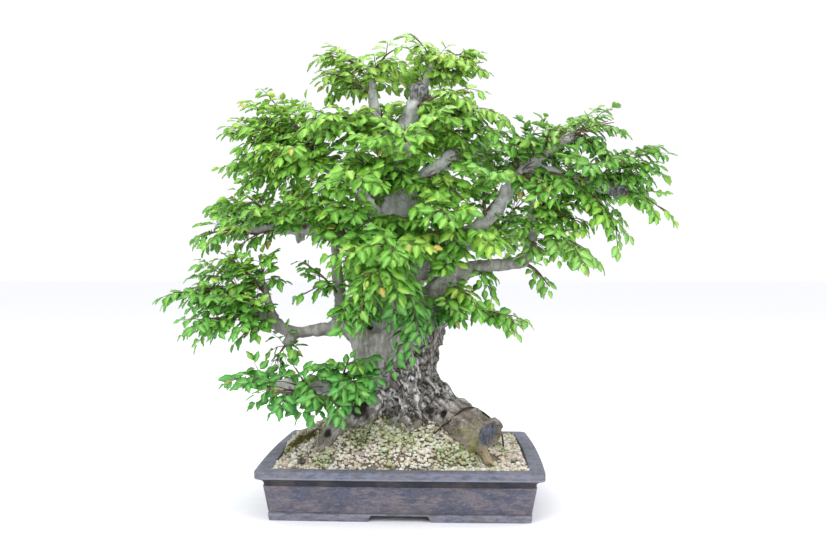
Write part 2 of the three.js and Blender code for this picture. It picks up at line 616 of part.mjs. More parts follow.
const twigs = Object.entries(SPRAYS).flatMap(([group, list]) => list.map((ends, index) => {
  const points = twigPoints(ends);
  const twig = toSolid(run(points, { sides: TWIG_SIDES, steps: TWIG_STEPS })).subtract(grownWood);
  return { name: `spray_${group}_${index + 1}`, points, side: index % 2 === 0 ? 1 : -1, twig };
}));
const drawSpray = randomSource(SPRAY_SEED);
const finished = [];
twigs.forEach((one, index) => {
  const waiting = twigs.slice(index + 1).map(({ twig }) => twig);
  finished.push(addShoots(one, [wood, wire, soil, ...finished, ...waiting], drawSpray));
});

const tree = new THREE.Group();
tree.add(makeMesh('pot', makePot(), CLAY));
tree.add(makeMesh('drain_screen_left', makeDrainScreen(-1), MESH_PLASTIC));
tree.add(makeMesh('drain_screen_right', makeDrainScreen(1), MESH_PLASTIC));
tree.add(makeMesh('soil', soil, GRAVEL));
tree.add(makeMesh('trunk', wood, BARK));
tree.add(makeMesh('tie_wire', wire, TIE_WIRE));
finished.forEach((spray, index) => tree.add(makeMesh(twigs[index].name, spray, FOLIAGE)));

const bounds = new THREE.Box3().setFromObject(tree);
const middle = bounds.getCenter(new THREE.Vector3());
tree.position.set(-middle.x, -middle.y, -bounds.min.z);

const bonsai = new THREE.Group();
bonsai.add(tree);

export default bonsai;
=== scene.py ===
"""Oriental hornbeam bonsai in a low rectangular clay pot.

Sizes in tables are millimetres from the middle of the pot's foot, as they are on the real tree.
place() turns them into metres in the frame.
"""

import math
import random

import bmesh
import bpy
from bpy.props import FloatProperty, FloatVectorProperty, IntProperty, PointerProperty
from mathutils import Matrix, Vector, geometry, noise
from mathutils.bvhtree import BVHTree
from mathutils.kdtree import KDTree


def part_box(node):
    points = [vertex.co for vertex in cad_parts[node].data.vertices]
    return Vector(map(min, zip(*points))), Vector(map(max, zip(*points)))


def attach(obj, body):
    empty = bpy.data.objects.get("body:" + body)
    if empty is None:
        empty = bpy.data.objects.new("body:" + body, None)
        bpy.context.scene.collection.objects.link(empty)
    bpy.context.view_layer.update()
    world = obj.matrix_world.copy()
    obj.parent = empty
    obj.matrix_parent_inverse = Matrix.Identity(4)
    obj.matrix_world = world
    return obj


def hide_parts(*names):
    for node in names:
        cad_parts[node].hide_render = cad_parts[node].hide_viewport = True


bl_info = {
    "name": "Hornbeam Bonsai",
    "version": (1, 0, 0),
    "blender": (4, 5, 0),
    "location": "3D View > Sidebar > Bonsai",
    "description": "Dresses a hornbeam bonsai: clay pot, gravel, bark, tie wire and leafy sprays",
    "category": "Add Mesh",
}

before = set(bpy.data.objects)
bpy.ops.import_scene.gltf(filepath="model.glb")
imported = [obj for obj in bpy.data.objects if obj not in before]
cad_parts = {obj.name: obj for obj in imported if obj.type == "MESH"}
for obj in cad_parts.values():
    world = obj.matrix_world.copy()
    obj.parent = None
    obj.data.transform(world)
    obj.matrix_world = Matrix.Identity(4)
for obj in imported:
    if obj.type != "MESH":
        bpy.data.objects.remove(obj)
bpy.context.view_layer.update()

BODY = "root"
MM = 0.001
UP = Vector((0, 0, 1))
POT_LOW, POT_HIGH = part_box("pot")
POT_CENTRE = Vector(((POT_LOW.x + POT_HIGH.x) / 2, (POT_LOW.y + POT_HIGH.y) / 2, 0))

# Pot
POT_HALF_WIDTH = 250
POT_HALF_DEPTH = 188
POT_SIDE_BOW = 5.4
POT_FRONT_BOW = 2.5
POT_CORNER_RADIUS = 11
POT_LEAST_CORNER_RADIUS = 4
POT_CORNER_TIGHTENING = 0.25
# Height and inset from the rim: up the outside, over the rim and down the inside
POT_PROFILE = [
    (0, 21.9), (0.5, 21.4), (11.4, 20), (12, 20.6), (12.6, 23), (13.8, 23), (15, 21), (15.8, 20.4),
    (38, 16.6), (60.2, 13), (60.9, 13.1), (61.5, 14.6), (67, 13), (69.5, 10.8), (71.5, 8), (73.2, 4),
    (74.2, 1.2), (75.2, 0.3), (76.2, 0), (86.2, 0), (87.3, 0.5), (88, 1.8),
    (88, 24), (87.4, 25.4), (86, 26), (60, 26.2), (22, 30),
]
POT_SHARP_ANGLE = math.radians(38)
FOOT_TOP = 11
FOOT_INSIDE_INSET = 36
FOOT_GAP_TOP = 96
FOOT_GAP_BOTTOM = 112
DRAIN_RADIUS = 11
DRAIN_SPACING = 210
DRAIN_SIDES = 32
DRAIN_CUT_DEPTH = 50
OVERCUT = 2

# Soil
SOIL_EDGE_INSET = 26.5
SOIL_EDGE_HEIGHT = 85
SOIL_MOUND_HEIGHT = 80
SOIL_MOUND_CENTRE = (-15, 0)
SOIL_MOUND_RADII = (215, 160)
SOIL_MOUND_ROUNDING = 0.8
SOIL_FLOOR = 22.4
SOIL_RINGS = 26
GRAIN_EDGE_GAP = 1
GRAIN_DEPTH_IN_WOOD = 0.004
ROW_SPACING_SHARE = 0.87
LOOSE_GRAIN_LIFT = 0.45
STONE_TONE = 0.01
GRAIN_SEED = 5
GRAVEL_SEED = 11

# Wood: each run is a list of (x, y, z, radius)
TRUNK_BASE = [
    (-8, 0, 62, 118), (-8, 0, 110, 112), (-8, 0, 150, 100), (-10, 0, 185, 84), (-14, 0, 225, 76),
    (-20, 2, 265, 80), (-26, 4, 305, 82), (-24, 6, 345, 66),
]
TRUNK_SIDES = 56
ROOTS = [
    [(30, -20, 212, 36), (72, -34, 176, 36), (104, -48, 158, 33), (132, -62, 142, 30),
     (164, -84, 128, 26)],
    [(94, -62, 152, 26), (108, -82, 139, 26), (117, -95, 118, 16), (120, -100, 98, 8)],
    [(118, -66, 134, 20), (138, -92, 124, 19), (153, -114, 109, 17), (166, -132, 88, 13)],
    [(-48, -40, 188, 34), (-90, -74, 168, 22), (-112, -90, 149, 17), (-132, -99, 125, 15),
     (-147, -106, 96, 9)],
    [(-60, 30, 170, 34), (-118, 52, 132, 24), (-165, 68, 92, 13)],
    [(30, 40, 175, 36), (84, 78, 134, 24), (118, 104, 92, 13)],
    [(-20, 40, 165, 34), (-34, 96, 128, 22), (-44, 132, 90, 12)],
]
LIMBS = {
    "central": [(-24, 4, 300, 66), (-34, 12, 385, 55), (-30, 18, 460, 46), (-14, 20, 540, 38),
                (-8, 16, 605, 31), (0, 10, 662, 23), (10, 0, 712, 17), (29, -8, 752, 16)],
    "leader": [(-10, 20, 590, 20), (-44, 24, 690, 13), (-62, 18, 757, 10), (-58, 8, 808, 7)],
    "apex": [(0, 12, 650, 16), (24, 38, 720, 12), (38, 34, 780, 9), (56, 22, 826, 6)],
    "right_low": [(20, -2, 300, 52), (58, -10, 372, 34), (90, -15, 414, 22), (135, -18, 430, 14.5),
                  (181, -20, 436, 12), (222, -20, 444, 12.5), (236, -20, 478, 11), (240, -18, 525, 9),
                  (238, -12, 568, 7)],
    "right_mid": [(0, 6, 420, 34), (60, 0, 464, 24), (115, -5, 490, 18), (152, -8, 517, 16),
                  (176, -8, 546, 14), (194, -5, 575, 14), (220, 0, 610, 13), (262, -2, 645, 11),
                  (322, -8, 680, 10)],
    "right_far": [(214, 0, 602, 13), (262, -4, 610, 12), (325, -12, 590, 12), (366, -20, 582, 13),
                  (394, -32, 573, 14)],
    "left": [(-64, -5, 296, 26), (-112, -10, 318, 16), (-158, -15, 314, 12), (-196, -20, 310, 11),
             (-230, -22, 318, 11), (-268, -25, 340, 9), (-314, -30, 353, 6)],
    "left_fork": [(-226, -22, 316, 10), (-246, -20, 345, 8), (-257, -15, 376, 7), (-264, -10, 404, 5)],
    "left_knob": [(-204, -20, 310, 9), (-212, -26, 296, 12), (-218, -30, 284, 9)],
    "left_upright": [(-78, 0, 296, 24), (-113, 0, 332, 14), (-123, 2, 378, 12), (-128, 5, 432, 10),
                     (-134, 10, 495, 8), (-148, 15, 560, 6)],
    "left_upright_stub": [(-118, -2, 345, 8), (-140, -10, 344, 7)],
    "mid_left": [(-30, 15, 400, 30), (-100, 25, 474, 17), (-170, 20, 503, 13), (-236, 12, 505, 11),
                 (-300, 0, 503, 8)],
    "upper_left": [(-15, 20, 540, 24), (-80, 30, 592, 16), (-160, 25, 628, 11), (-238, 10, 656, 7)],
    "low_left": [(-50, -40, 196, 24), (-112, -78, 212, 15), (-142, -96, 217, 16), (-172, -100, 209, 11),
                 (-205, -106, 221, 15), (-228, -108, 215, 8)],
    "mid_stub": [(-6, -2, 565, 20), (38, -30, 600, 13), (70, -36, 622, 12), (94, -40, 641, 12)],
    "back_low": [(-20, 30, 375, 32), (-15, 110, 422, 16), (0, 178, 440, 9)],
    "back_mid": [(0, 25, 500, 26), (-14, 110, 552, 14), (-26, 196, 592, 8)],
    "back_left": [(-30, 25, 450, 26), (-110, 105, 502, 13), (-196, 150, 530, 8)],
    "back_right": [(20, 10, 425, 28), (110, 84, 472, 14), (172, 140, 486, 8)],
    "back_high": [(-5, 20, 620, 18), (-40, 84, 682, 10), (-66, 122, 702, 6)],
    "back_right_high": [(0, 20, 560, 20), (70, 96, 628, 11), (106, 150, 660, 7)],
    "front": [(-15, -10, 430, 26), (-22, -90, 458, 13), (-18, -160, 462, 8)],
    "front_high": [(0, 0, 590, 18), (8, -72, 640, 9), (10, -110, 652, 6)],
    "front_right": [(56, 0, 462, 16), (82, -80, 498, 10), (84, -130, 508, 7)],
    "front_left": [(-34, 0, 500, 18), (-64, -80, 552, 10), (-74, -128, 566, 7)],
    "hanging_stub_a": [(-207, 12, 502, 5), (-201, 2, 477, 4.5)],
    "hanging_stub_b": [(-197, 14, 502, 4.5), (-191, 6, 482, 4)],
    "flank_stub": [(-86, -20, 250, 7), (-104, -34, 252, 5)],
}

# Callus knobs on the cut ends, each (x, y, z, radius)
KNOBS = [(29, -8, 757, 21), (394, -32, 573, 17), (92, -39, 640, 11)]

# Sawn ends: centre, the way the face looks, radius of the face
SAWN_ENDS = [
    ((153, -86, 134), (0.6, -0.76, -0.2), 25),
    ((398, -44, 570), (0.35, -0.9, -0.15), 9),
    ((36, -24, 762), (0.3, -0.9, 0.3), 8),
]

# Hollows in the wood: centre, radius, depth
HOLLOWS = [
    ((76, -68, 166), 13, 13),
    ((-74, -84, 178), 27, 15),
    ((-46, -92, 176), 15, 9),
    ((24, -88, 205), 12, 6),
    ((-14, -44, 518), 15, 9),
    ((12, -36, 470), 13, 7),
    ((-62, -56, 326), 12, 6),
    ((-18, -78, 250), 11, 5),
    ((66, -34, 330), 13, 7),
    ((44, -48, 262), 10, 5),
    ((-131, -108, 139), 11, 6),
]

# Old bark: the height where it ends on the trunk's middle, and how soft its edge is
OLD_BARK_TOP = 284
OLD_BARK_SOFTNESS = 45

# Fibres of the bark: size, how far they are drawn out, and octaves
COARSE_FIBRES = (11, 3.5, 3)
FINE_FIBRES = (5.0, 5.0, 2)

# The way the old bark's fibres run over the front of the base and down the right and the left root
FRONT_FIBRES = Vector((0.6, -0.3, -0.74)).normalized()
RIGHT_FIBRES = Vector((0.8, -0.38, -0.46)).normalized()
LEFT_FIBRES = Vector((-0.6, -0.4, -0.69)).normalized()

# Bigger dark stones among the gravel, each (x, y, size)
STONES = [(-171, -135, 19), (-100, -120, 9), (-143, -106, 13), (60, -140, 8), (150, 40, 10), (-60, 120, 11)]

# Damp green patches of gravel: centre and radius
GREEN_PATCHES = [
    ((100, -122), 24), ((72, -128), 18), ((-70, -96), 34), ((10, -112), 24), ((176, -40), 18),
    ((-20, -104), 26),
]

# A tuft of dry moss at the left: centre, radii and number of fibres
MOSS_TUFT = ((-182, -58), (26, 16), 260)
MOSS_SEED = 23

WIRE_ROUTE = [
    (42, -108, 104), (50, -100, 128), (68, -92, 145), (86, -86, 158), (99, -82, 169), (113, -76, 178),
    (129, -65, 178), (146, -55, 168), (161, -48, 155), (176, -42, 138), (183, -34, 116), (185, -28, 78),
]
WIRE_RADIUS = 1.6

# Leafy sprays by group. Each spray is a list of growths: its own first, then more that fill the gaps
# round it. A growth is where it starts (x, y, z), the twig's radius there, where its foliage ends
# (x, y, z) and how full it is.
SPRAYS = {
    "apex": [
        [(46, 29, 800, 5, 154, -20, 801, 0.85), (46, 29, 790, 4, 162, 6, 806, 0.75)],
        [(55, 22, 822, 5, 128, 20, 822, 0.75)],
        [(-58, 8, 804, 5, 0, -60, 820, 0.7), (-60, 12, 780, 4, -10, -30, 800, 0.85),
         (-40, 24, 685, 4, -42, -54, 718, 0.7), (55, 22, 822, 3, 8, -40, 850, 0.55)],
        [(14, -4, 726, 6, 140, -112, 724, 0.55), (10, 0, 700, 5, 205, -40, 696, 0.85),
         (24, 38, 720, 4, 136, -30, 732, 0.55)],
        [(36, 34, 775, 5, 46, 136, 834, 1)],
    ],
    "crown_left": [
        [(-62, 18, 757, 5, -160, -40, 782, 0.75), (-58, 8, 800, 4, -176, -20, 816, 0.7)],
        [(-60, 12, 780, 5, -150, 100, 780, 0.75), (-44, 24, 690, 4, -150, -40, 655, 0.7)],
    ],
    "upper_left": [
        [(-236, 10, 655, 5, -342, -20, 672, 1)],
        [(-160, 25, 628, 6, -280, 56, 764, 1), (-200, 20, 640, 4, -306, 0, 740, 0.85),
         (-196, 20, 640, 4, -192, 0, 738, 0.6)],
        [(-196, 20, 640, 5, -355, 95, 606, 1), (-196, 20, 640, 4, -330, 30, 692, 0.85),
         (-160, 25, 628, 5, -312, 0, 566, 0.8), (-238, 10, 656, 4, -214, -40, 556, 0.6)],
        [(-150, 25, 625, 6, -243, -120, 612, 1), (-150, 25, 625, 4, -210, -60, 662, 0.85),
         (-80, 30, 592, 5, -172, -50, 560, 0.8), (-80, 30, 592, 4, -130, -60, 626, 0.5)],
        [(-46, 24, 690, 5, -180, -90, 684, 1), (-14, 10, 560, 5, -105, -110, 628, 0.85),
         (0, 12, 650, 5, -90, 60, 690, 0.85)],
    ],
    "mid_left": [
        [(-280, 4, 496, 6, -405, -10, 472, 1), (-236, 12, 502, 4, -314, -49, 451, 0.4)],
        [(-236, 12, 502, 6, -392, 90, 550, 1), (-170, 20, 501, 5, -212, -50, 562, 0.85),
         (-236, 12, 502, 4, -318, -10, 566, 0.6)],
        [(-180, 18, 502, 6, -285, -114, 512, 0.65), (-100, 25, 472, 5, -190, -90, 538, 0.5),
         (-170, 20, 501, 4, -123, -74, 473, 0.4)],
    ],
    "low_left": [
        [(-306, -29, 351, 5, -446, -30, 373, 1), (-306, -29, 351, 4, -402, -30, 392, 0.7)],
        [(-268, -25, 340, 5, -405, 56, 432, 1)],
        [(-255, -24, 332, 5, -392, -100, 308, 1), (-255, -24, 332, 3, -300, -70, 280, 0.5)],
        [(-263, -12, 400, 4, -262, -76, 446, 0.75), (-257, -15, 376, 4, -350, -40, 455, 0.85),
         (-123, 2, 378, 4, -200, -20, 434, 0.45)],
        [(-246, -20, 345, 5, -340, -118, 366, 0.65)],
    ],
    "hang_left": [[(-218, -30, 288, 5, -240, -64, 222, 0.6)]],
    "skirt_left": [
        [(-222, -105, 211, 5, -304, -120, 222, 1)],
        [(-170, -95, 202, 5, -220, -190, 204, 1), (-168, -94, 202, 4, -180, -160, 252, 0.85)],
        [(-120, -76, 206, 6, -118, -206, 182, 1)],
        [(-84, -60, 203, 7, -78, -196, 222, 0.8), (-112, -74, 207, 5, -84, -150, 268, 0.8)],
    ],
    "front": [
        [(9, -106, 651, 5, 4, -200, 634, 0.8), (0, 0, 600, 5, 0, -130, 600, 0.8),
         (0, 10, 575, 5, 48, -100, 560, 0.8), (38, -30, 600, 4, 116, -110, 530, 0.6),
         (70, -36, 622, 3, 124, -80, 616, 0.5)],
        [(-74, -126, 566, 5, -80, -214, 572, 1), (-20, 0, 560, 5, -60, -130, 655, 0.85),
         (-34, 0, 500, 5, -130, -140, 525, 0.85)],
        [(84, -128, 508, 5, 62, -216, 514, 0.85), (56, 0, 462, 5, 70, -150, 548, 0.7)],
        [(-18, -158, 462, 6, -2, -262, 446, 1), (0, 0, 450, 5, 45, -150, 470, 0.85),
         (-10, 20, 500, 4, 6, -120, 498, 0.6)],
        [(-22, -100, 460, 6, -100, -192, 428, 1), (-30, 10, 440, 5, -70, -160, 470, 0.85)],
        [(152, -8, 517, 6, 136, -170, 600, 0.8), (214, 0, 602, 4, 262, -110, 540, 0.6)],
        [(-8, 10, 625, 7, 96, -140, 690, 0.8), (0, 12, 650, 5, 172, -60, 668, 0.72)],
        [(-20, -130, 461, 5, -56, -200, 348, 0.8), (-64, -5, 400, 5, -72, -130, 310, 0.7),
         (-64, -5, 350, 5, -104, -130, 318, 0.6), (-123, 2, 400, 4, -194, -38, 362, 0.4)],
        [(83, -84, 499, 5, 150, -186, 450, 0.75), (115, -5, 490, 5, 172, -100, 464, 0.65),
         (70, -10, 400, 4, 150, -100, 340, 0.4), (60, 0, 464, 4, 104, -130, 436, 0.55),
         (70, -10, 410, 4, 88, -130, 424, 0.35)],
    ],
    "hang_front": [
        [(-20, -120, 462, 5, 40, -168, 290, 0.7), (58, -10, 350, 5, 78, -100, 328, 0.65),
         (14, -150, 372, 2, 8, -165, 238, 0.45)],
    ],
    "upper_right": [
        [(345, -15, 586, 6, 484, -10, 636, 1), (366, -20, 582, 4, 476, -40, 592, 0.85)],
        [(318, -11, 591, 6, 456, 112, 556, 1), (240, -18, 540, 5, 335, 40, 545, 0.85)],
        [(252, -1, 636, 6, 404, 40, 704, 1), (300, -6, 665, 4, 392, -60, 680, 0.75),
         (322, -8, 680, 4, 380, -60, 606, 0.65)],
        [(262, -2, 645, 6, 268, -90, 672, 0.8), (250, 0, 634, 4, 206, -84, 640, 0.5),
         (176, -8, 546, 5, 150, 20, 672, 0.85), (214, 0, 602, 4, 258, -80, 574, 0.5),
         (220, 0, 610, 4, 172, -60, 646, 0.6), (214, 0, 602, 4, 246, -50, 612, 0.5)],
        [(325, -12, 590, 6, 342, -130, 598, 1), (262, -4, 610, 5, 330, -70, 548, 0.85)],
        [(240, 0, 626, 6, 296, 160, 640, 1), (220, 0, 610, 5, 250, 60, 700, 0.85)],
    ],
    "mid_right": [
        [(325, -12, 586, 6, 400, -60, 464, 0.8), (394, -32, 573, 4, 484, -60, 508, 0.7),
         (240, -18, 525, 4, 346, -40, 492, 0.6)],
        [(238, -20, 500, 5, 348, -92, 430, 1), (240, -18, 525, 5, 312, -60, 510, 0.85),
         (236, -20, 478, 4, 248, -80, 440, 0.6), (238, -18, 500, 4, 228, -90, 492, 0.5)],
        [(222, -20, 440, 6, 276, -40, 372, 0.5)],
    ],
    "low_right": [
        [(58, -10, 350, 3, 236, -60, 306, 0.5), (58, -10, 372, 5, 100, -110, 340, 0.7),
         (135, -18, 430, 4, 166, -60, 356, 0.5)],
    ],
    "back": [
        [(-15, 115, 424, 6, -142, 226, 400, 1), (-110, 105, 502, 4, -150, 190, 524, 0.8)],
        [(0, 174, 439, 6, 66, 266, 384, 1), (-15, 110, 422, 5, 66, 180, 470, 0.8),
         (0, 174, 439, 4, -64, 220, 476, 0.75)],
        [(172, 138, 486, 6, 236, 210, 470, 1), (172, 138, 486, 5, 250, 90, 565, 0.85),
         (110, 84, 472, 5, 116, 180, 530, 0.85)],
        [(-192, 148, 529, 6, -298, 200, 544, 1), (-100, 25, 472, 5, -190, 90, 560, 0.85),
         (-196, 150, 530, 4, -230, 150, 620, 0.8)],
        [(-26, 190, 590, 6, -35, 284, 605, 1), (-14, 110, 552, 5, -112, 190, 570, 0.85),
         (-14, 110, 552, 5, 74, 190, 592, 0.8)],
        [(105, 148, 659, 6, 152, 226, 686, 1), (70, 96, 628, 5, 180, 120, 640, 0.85),
         (70, 96, 628, 4, 96, 110, 716, 0.8), (10, 20, 560, 4, 100, 70, 572, 0.8),
         (214, 0, 602, 4, 232, 90, 622, 0.8)],
        [(-58, 108, 695, 5, -118, 200, 720, 1), (-15, 20, 540, 5, -110, 70, 640, 0.85),
         (-40, 84, 682, 5, -20, 150, 766, 0.8), (-40, 84, 682, 4, 44, 150, 722, 0.8)],
    ],
}

# Bare wood that the foliage leaves open to the front: both ends and the half width of the opening
OPENINGS = [
    ((30, -12, 767), (28, -10, 756), 22),
    ((26, -8, 748), (0, -2, 702), 15),
    ((298, -8, 668), (326, -10, 684), 14),
    ((390, -34, 574), (400, -44, 571), 13),
    ((222, -2, 613), (240, -2, 626), 13),
    ((44, -32, 604), (96, -42, 642), 15),
    ((-36, -20, 549), (-6, -20, 549), 22),
    ((140, -10, 508), (188, -8, 568), 14),
    ((-205, 4, 490), (-195, 4, 480), 14),
    ((-143, -100, 218), (-139, -100, 217), 19),
    ((-207, -108, 222), (-203, -108, 221), 18),
]

# The pad of leaves at the end of a growth: half its length as a share of the growth's length and at
# the least, half its width and height where it is full, and its rise over the growth's line
PAD_LENGTH_SHARE = 0.48
LEAST_PAD_LENGTH = 56
PAD_WIDTH = 66
PAD_HEIGHT = 38
PAD_RISE = 14

# Shoots: fewest in a growth, turn from one to the next, leafy length and fewest leaves
LEAST_SHOOTS = 6
SHOOT_TURN = 2.39996
LEAFY_LENGTH = 64
LEAST_LEAVES = 3

# Leaves: steps along the toothed edge, stalk's share of the length, size of a tip leaf beside the
# others, and share of tip leaves that are bronze
LEAF_TEETH = 6
LEAF_STALK = 0.14
TIP_LEAF_SIZE = 0.74
BRONZE_SHARE = 0.025

# Stage, in metres: the floor's radius, where the lights look, and each light's place and size
FLOOR_RADIUS = 40
FLOOR_SIDES = 96
LIGHT_AIM = Vector((0, 0, 0.42))
LIGHTS = {
    "key_light": (Vector((-1.7, -2.3, 2.5)), 2.2),
    "fill_light": (Vector((2.2, -1.6, 1.3)), 1.8),
    "top_light": (Vector((0.3, 0.6, 2.9)), 2.4),
}
TOP_LIGHT_SHARE = 0.8

# Camera: place in millimetres, lens and sensor, turn and tilt
CAMERA_PLACE = (80, -1556, 423)
CAMERA_LENS = 36
SENSOR_WIDTH = 36
CAMERA_TURN = math.radians(2.33)
CAMERA_TILT = math.radians(-0.26)


def place(x, y, z):
    """A point given in millimetres from the middle of the pot's foot, in the frame."""
    return Vector((x, y, z)) * MM + POT_CENTRE


def tint(code):
    """The linear colour of a hex code."""
    channels = [int(code[i : i + 2], 16) / 255 for i in (1, 3, 5)]
    return tuple(c / 12.92 if c <= 0.04045 else ((c + 0.055) / 1.055) ** 2.4 for c in channels)


def ease(low, high, value):
    """0 below low, 1 above high, and a smooth step between."""
    share = min(max((value - low) / (high - low), 0.0), 1.0)
    return share * share * (3 - 2 * share)


def colour_property(name, description, code):
    return FloatVectorProperty(
        name=name, description=description, subtype="COLOR", size=3, min=0, max=1, default=tint(code)
    )


def distance_property(name, description, low, high, default):
    return FloatProperty(
        name=name, description=description, subtype="DISTANCE", unit="LENGTH",
        min=low, max=high, default=default,
    )


def power_property(name, description, default):
    return FloatProperty(
        name=name, description=description, subtype="POWER", unit="POWER", min=0, max=2000, default=default
    )


class PotSettings(bpy.types.PropertyGroup):
    corner_steps: IntProperty(
        name="Corner steps", description="Faces round each corner of the pot", min=2, max=16, default=7
    )
    side_steps: IntProperty(
        name="Side steps", description="Faces along each bowed side of the pot", min=4, max=60, default=22
    )
    hand_relief: distance_property(
        "Hand relief", "Height of the soft unevenness of the walls", 0, 0.003, 0.0006
    )
    body_colour: colour_property("Body", "Colour of the fired clay walls", "#706f7b")
    rim_colour: colour_property("Rim", "Colour of the worn rim and foot", "#7f8496")
    dust_colour: colour_property("Dust", "Colour of the dust in the cove and on the ledges", "#857c76")


class SoilSettings(bpy.types.PropertyGroup):
    grain_size: distance_property("Grain size", "Middle size of the gravel grains", 0.002, 0.012, 0.0063)
    grain_spacing: distance_property(
        "Grain spacing", "Distance between neighbouring grains", 0.003, 0.02, 0.0051
    )
    loose_grains: IntProperty(
        name="Loose grains", description="Grains scattered over the first layer",
        min=0, max=4000, default=3300,
    )
    bed_colour: colour_property("Bed", "Colour of the fines under the grains", "#988f7b")
    cream_colour: colour_property("Cream grains", "Colour of most grains", "#f2eddd")


class WoodSettings(bpy.types.PropertyGroup):
    voxel_size: distance_property("Voxel size", "Fineness of the wood's surface", 0.0015, 0.01, 0.0032)
    fissure_depth: distance_property("Fissure depth", "Depth of the cracks in the old bark", 0, 0.01, 0.0042)
    old_colour: colour_property("Old bark", "Colour of the fissured bark at the base", "#8f8b86")
    ridge_colour: colour_property("Ridges", "Colour of the weathered ridges of the bark", "#dcdcdd")
    young_colour: colour_property("Young bark", "Colour of the smooth bark above", "#a19f98")
    # Colour of the painted shade in cracks and hollows and of the callus knobs.
    shade_and_callus_colour: colour_property("Hollows", "Colour in cracks and hollows", "#2c2722")


class LeafSettings(bpy.types.PropertyGroup):
    length: distance_property("Leaf length", "Length of a full-grown leaf", 0.01, 0.06, 0.0275)
    width: distance_property("Leaf width", "Width of a full-grown leaf", 0.005, 0.04, 0.0148)
    spacing: distance_property("Leaf spacing", "Distance between leaves along a shoot", 0.004, 0.03, 0.0076)
    shoot_area: FloatProperty(
        name="Area of a shoot",
        description="Area of a spray that each of its shoots covers, in square metres",
        min=0.0002, max=0.01, default=0.0008, precision=5,
    )
    deep_colour: colour_property("Deep green", "Colour of the oldest leaves", "#4b9335")
    mid_colour: colour_property("Mid green", "Colour of most leaves", "#72ba38")
    fresh_colour: colour_property("Fresh green", "Colour of young leaves", "#a6d14c")
    bronze_colour: colour_property("Bronze", "Colour of the newest leaves", "#b5923f")


class StageSettings(bpy.types.PropertyGroup):
    floor_colour: colour_property("Floor", "Colour of the studio floor", "#f8f8fb")
    sky_strength: FloatProperty(
        name="Sky strength", description="Brightness of the even light all round", min=0, max=5, default=1.08
    )
    key_power: power_property("Key power", "Power of the big soft light at the front", 62)
    fill_power: power_property("Fill power", "Power of the soft light at the right", 24)


def add_node(tree, kind, inputs=None, **settings):
    """A shader node with its settings made and its inputs set or linked."""
    node = tree.nodes.new(kind)
    for key, value in settings.items():
        setattr(node, key, value)
    for key, value in (inputs or {}).items():
        if isinstance(value, bpy.types.NodeSocket):
            tree.links.new(value, node.inputs[key])
        else:
            node.inputs[key].default_value = value
    return node


def rgba(colour):
    """A colour as a node takes it: a socket as it is, and a value with full opacity."""
    return colour if isinstance(colour, bpy.types.NodeSocket) else (*colour[:3], 1.0)


def blend(tree, share, first, second):
    """The colour that lies a share of the way from the first to the second. Each is a socket or a value."""
    inputs = {0: share, 6: rgba(first), 7: rgba(second)}
    return add_node(tree, "ShaderNodeMix", inputs, data_type="RGBA").outputs[2]


def compute(tree, operation, first, second=0.0):
    return add_node(tree, "ShaderNodeMath", {0: first, 1: second}, operation=operation).outputs[0]


def times(tree, first, second):
    return compute(tree, "MULTIPLY", first, second)


def tinted(tree, base, mask, amount, code):
    """A colour with the colour of a hex code blended in by a mask times an amount."""
    return blend(tree, times(tree, mask, amount), base, tint(code))


def remap(tree, value, low, high, to_low=0.0, to_high=1.0):
    """A value moved from one range to another along a smooth step, and held at its ends."""
    inputs = {"Value": value, "From Min": low, "From Max": high, "To Min": to_low, "To Max": to_high}
    return add_node(tree, "ShaderNodeMapRange", inputs, interpolation_type="SMOOTHSTEP").outputs["Result"]


def ramp(tree, factor, stops):
    """A colour ramp through (position, colour) stops."""
    node = add_node(tree, "ShaderNodeValToRGB", {"Fac": factor})
    elements = node.color_ramp.elements
    for element, (position, colour) in zip((elements[0], elements[-1]), (stops[0], stops[-1])):
        element.position = position
        element.color = rgba(colour)
    for position, colour in stops[1:-1]:
        elements.new(position).color = rgba(colour)
    return node.outputs["Color"]


def noise_value(tree, vector, scale, detail=3.0, roughness=0.55):
    inputs = {"Vector": vector, "Scale": scale, "Detail": detail, "Roughness": roughness}
    return add_node(tree, "ShaderNodeTexNoise", inputs).outputs["Fac"]


def drawn_noise(tree, vector, scales, detail, roughness):
    """Noise with its own scale along each axis, which draws its pattern out."""
    mapping = add_node(tree, "ShaderNodeMapping", {"Vector": vector, "Scale": scales})
    return noise_value(tree, mapping.outputs["Vector"], 1.0, detail, roughness)


def zone(tree, x, z, across, up, soft=0.025):
    """1 between two places across and two places up the tree, in metres, with soft edges."""
    inside = 1.0
    for value, (low, high) in ((x, across), (z, up)):
        inside = times(tree, inside, remap(tree, value, low - soft, low + soft))
        inside = times(tree, inside, remap(tree, value, high + soft, high - soft))
    return inside


def object_coordinates(tree):
    """The object coordinates, and their X and Z."""
    coords = add_node(tree, "ShaderNodeTexCoord").outputs["Object"]
    split = add_node(tree, "ShaderNodeSeparateXYZ", {"Vector": coords})
    return coords, split.outputs["X"], split.outputs["Z"]


def attribute_value(tree, name):
    return add_node(tree, "ShaderNodeAttribute", attribute_name=name).outputs["Fac"]


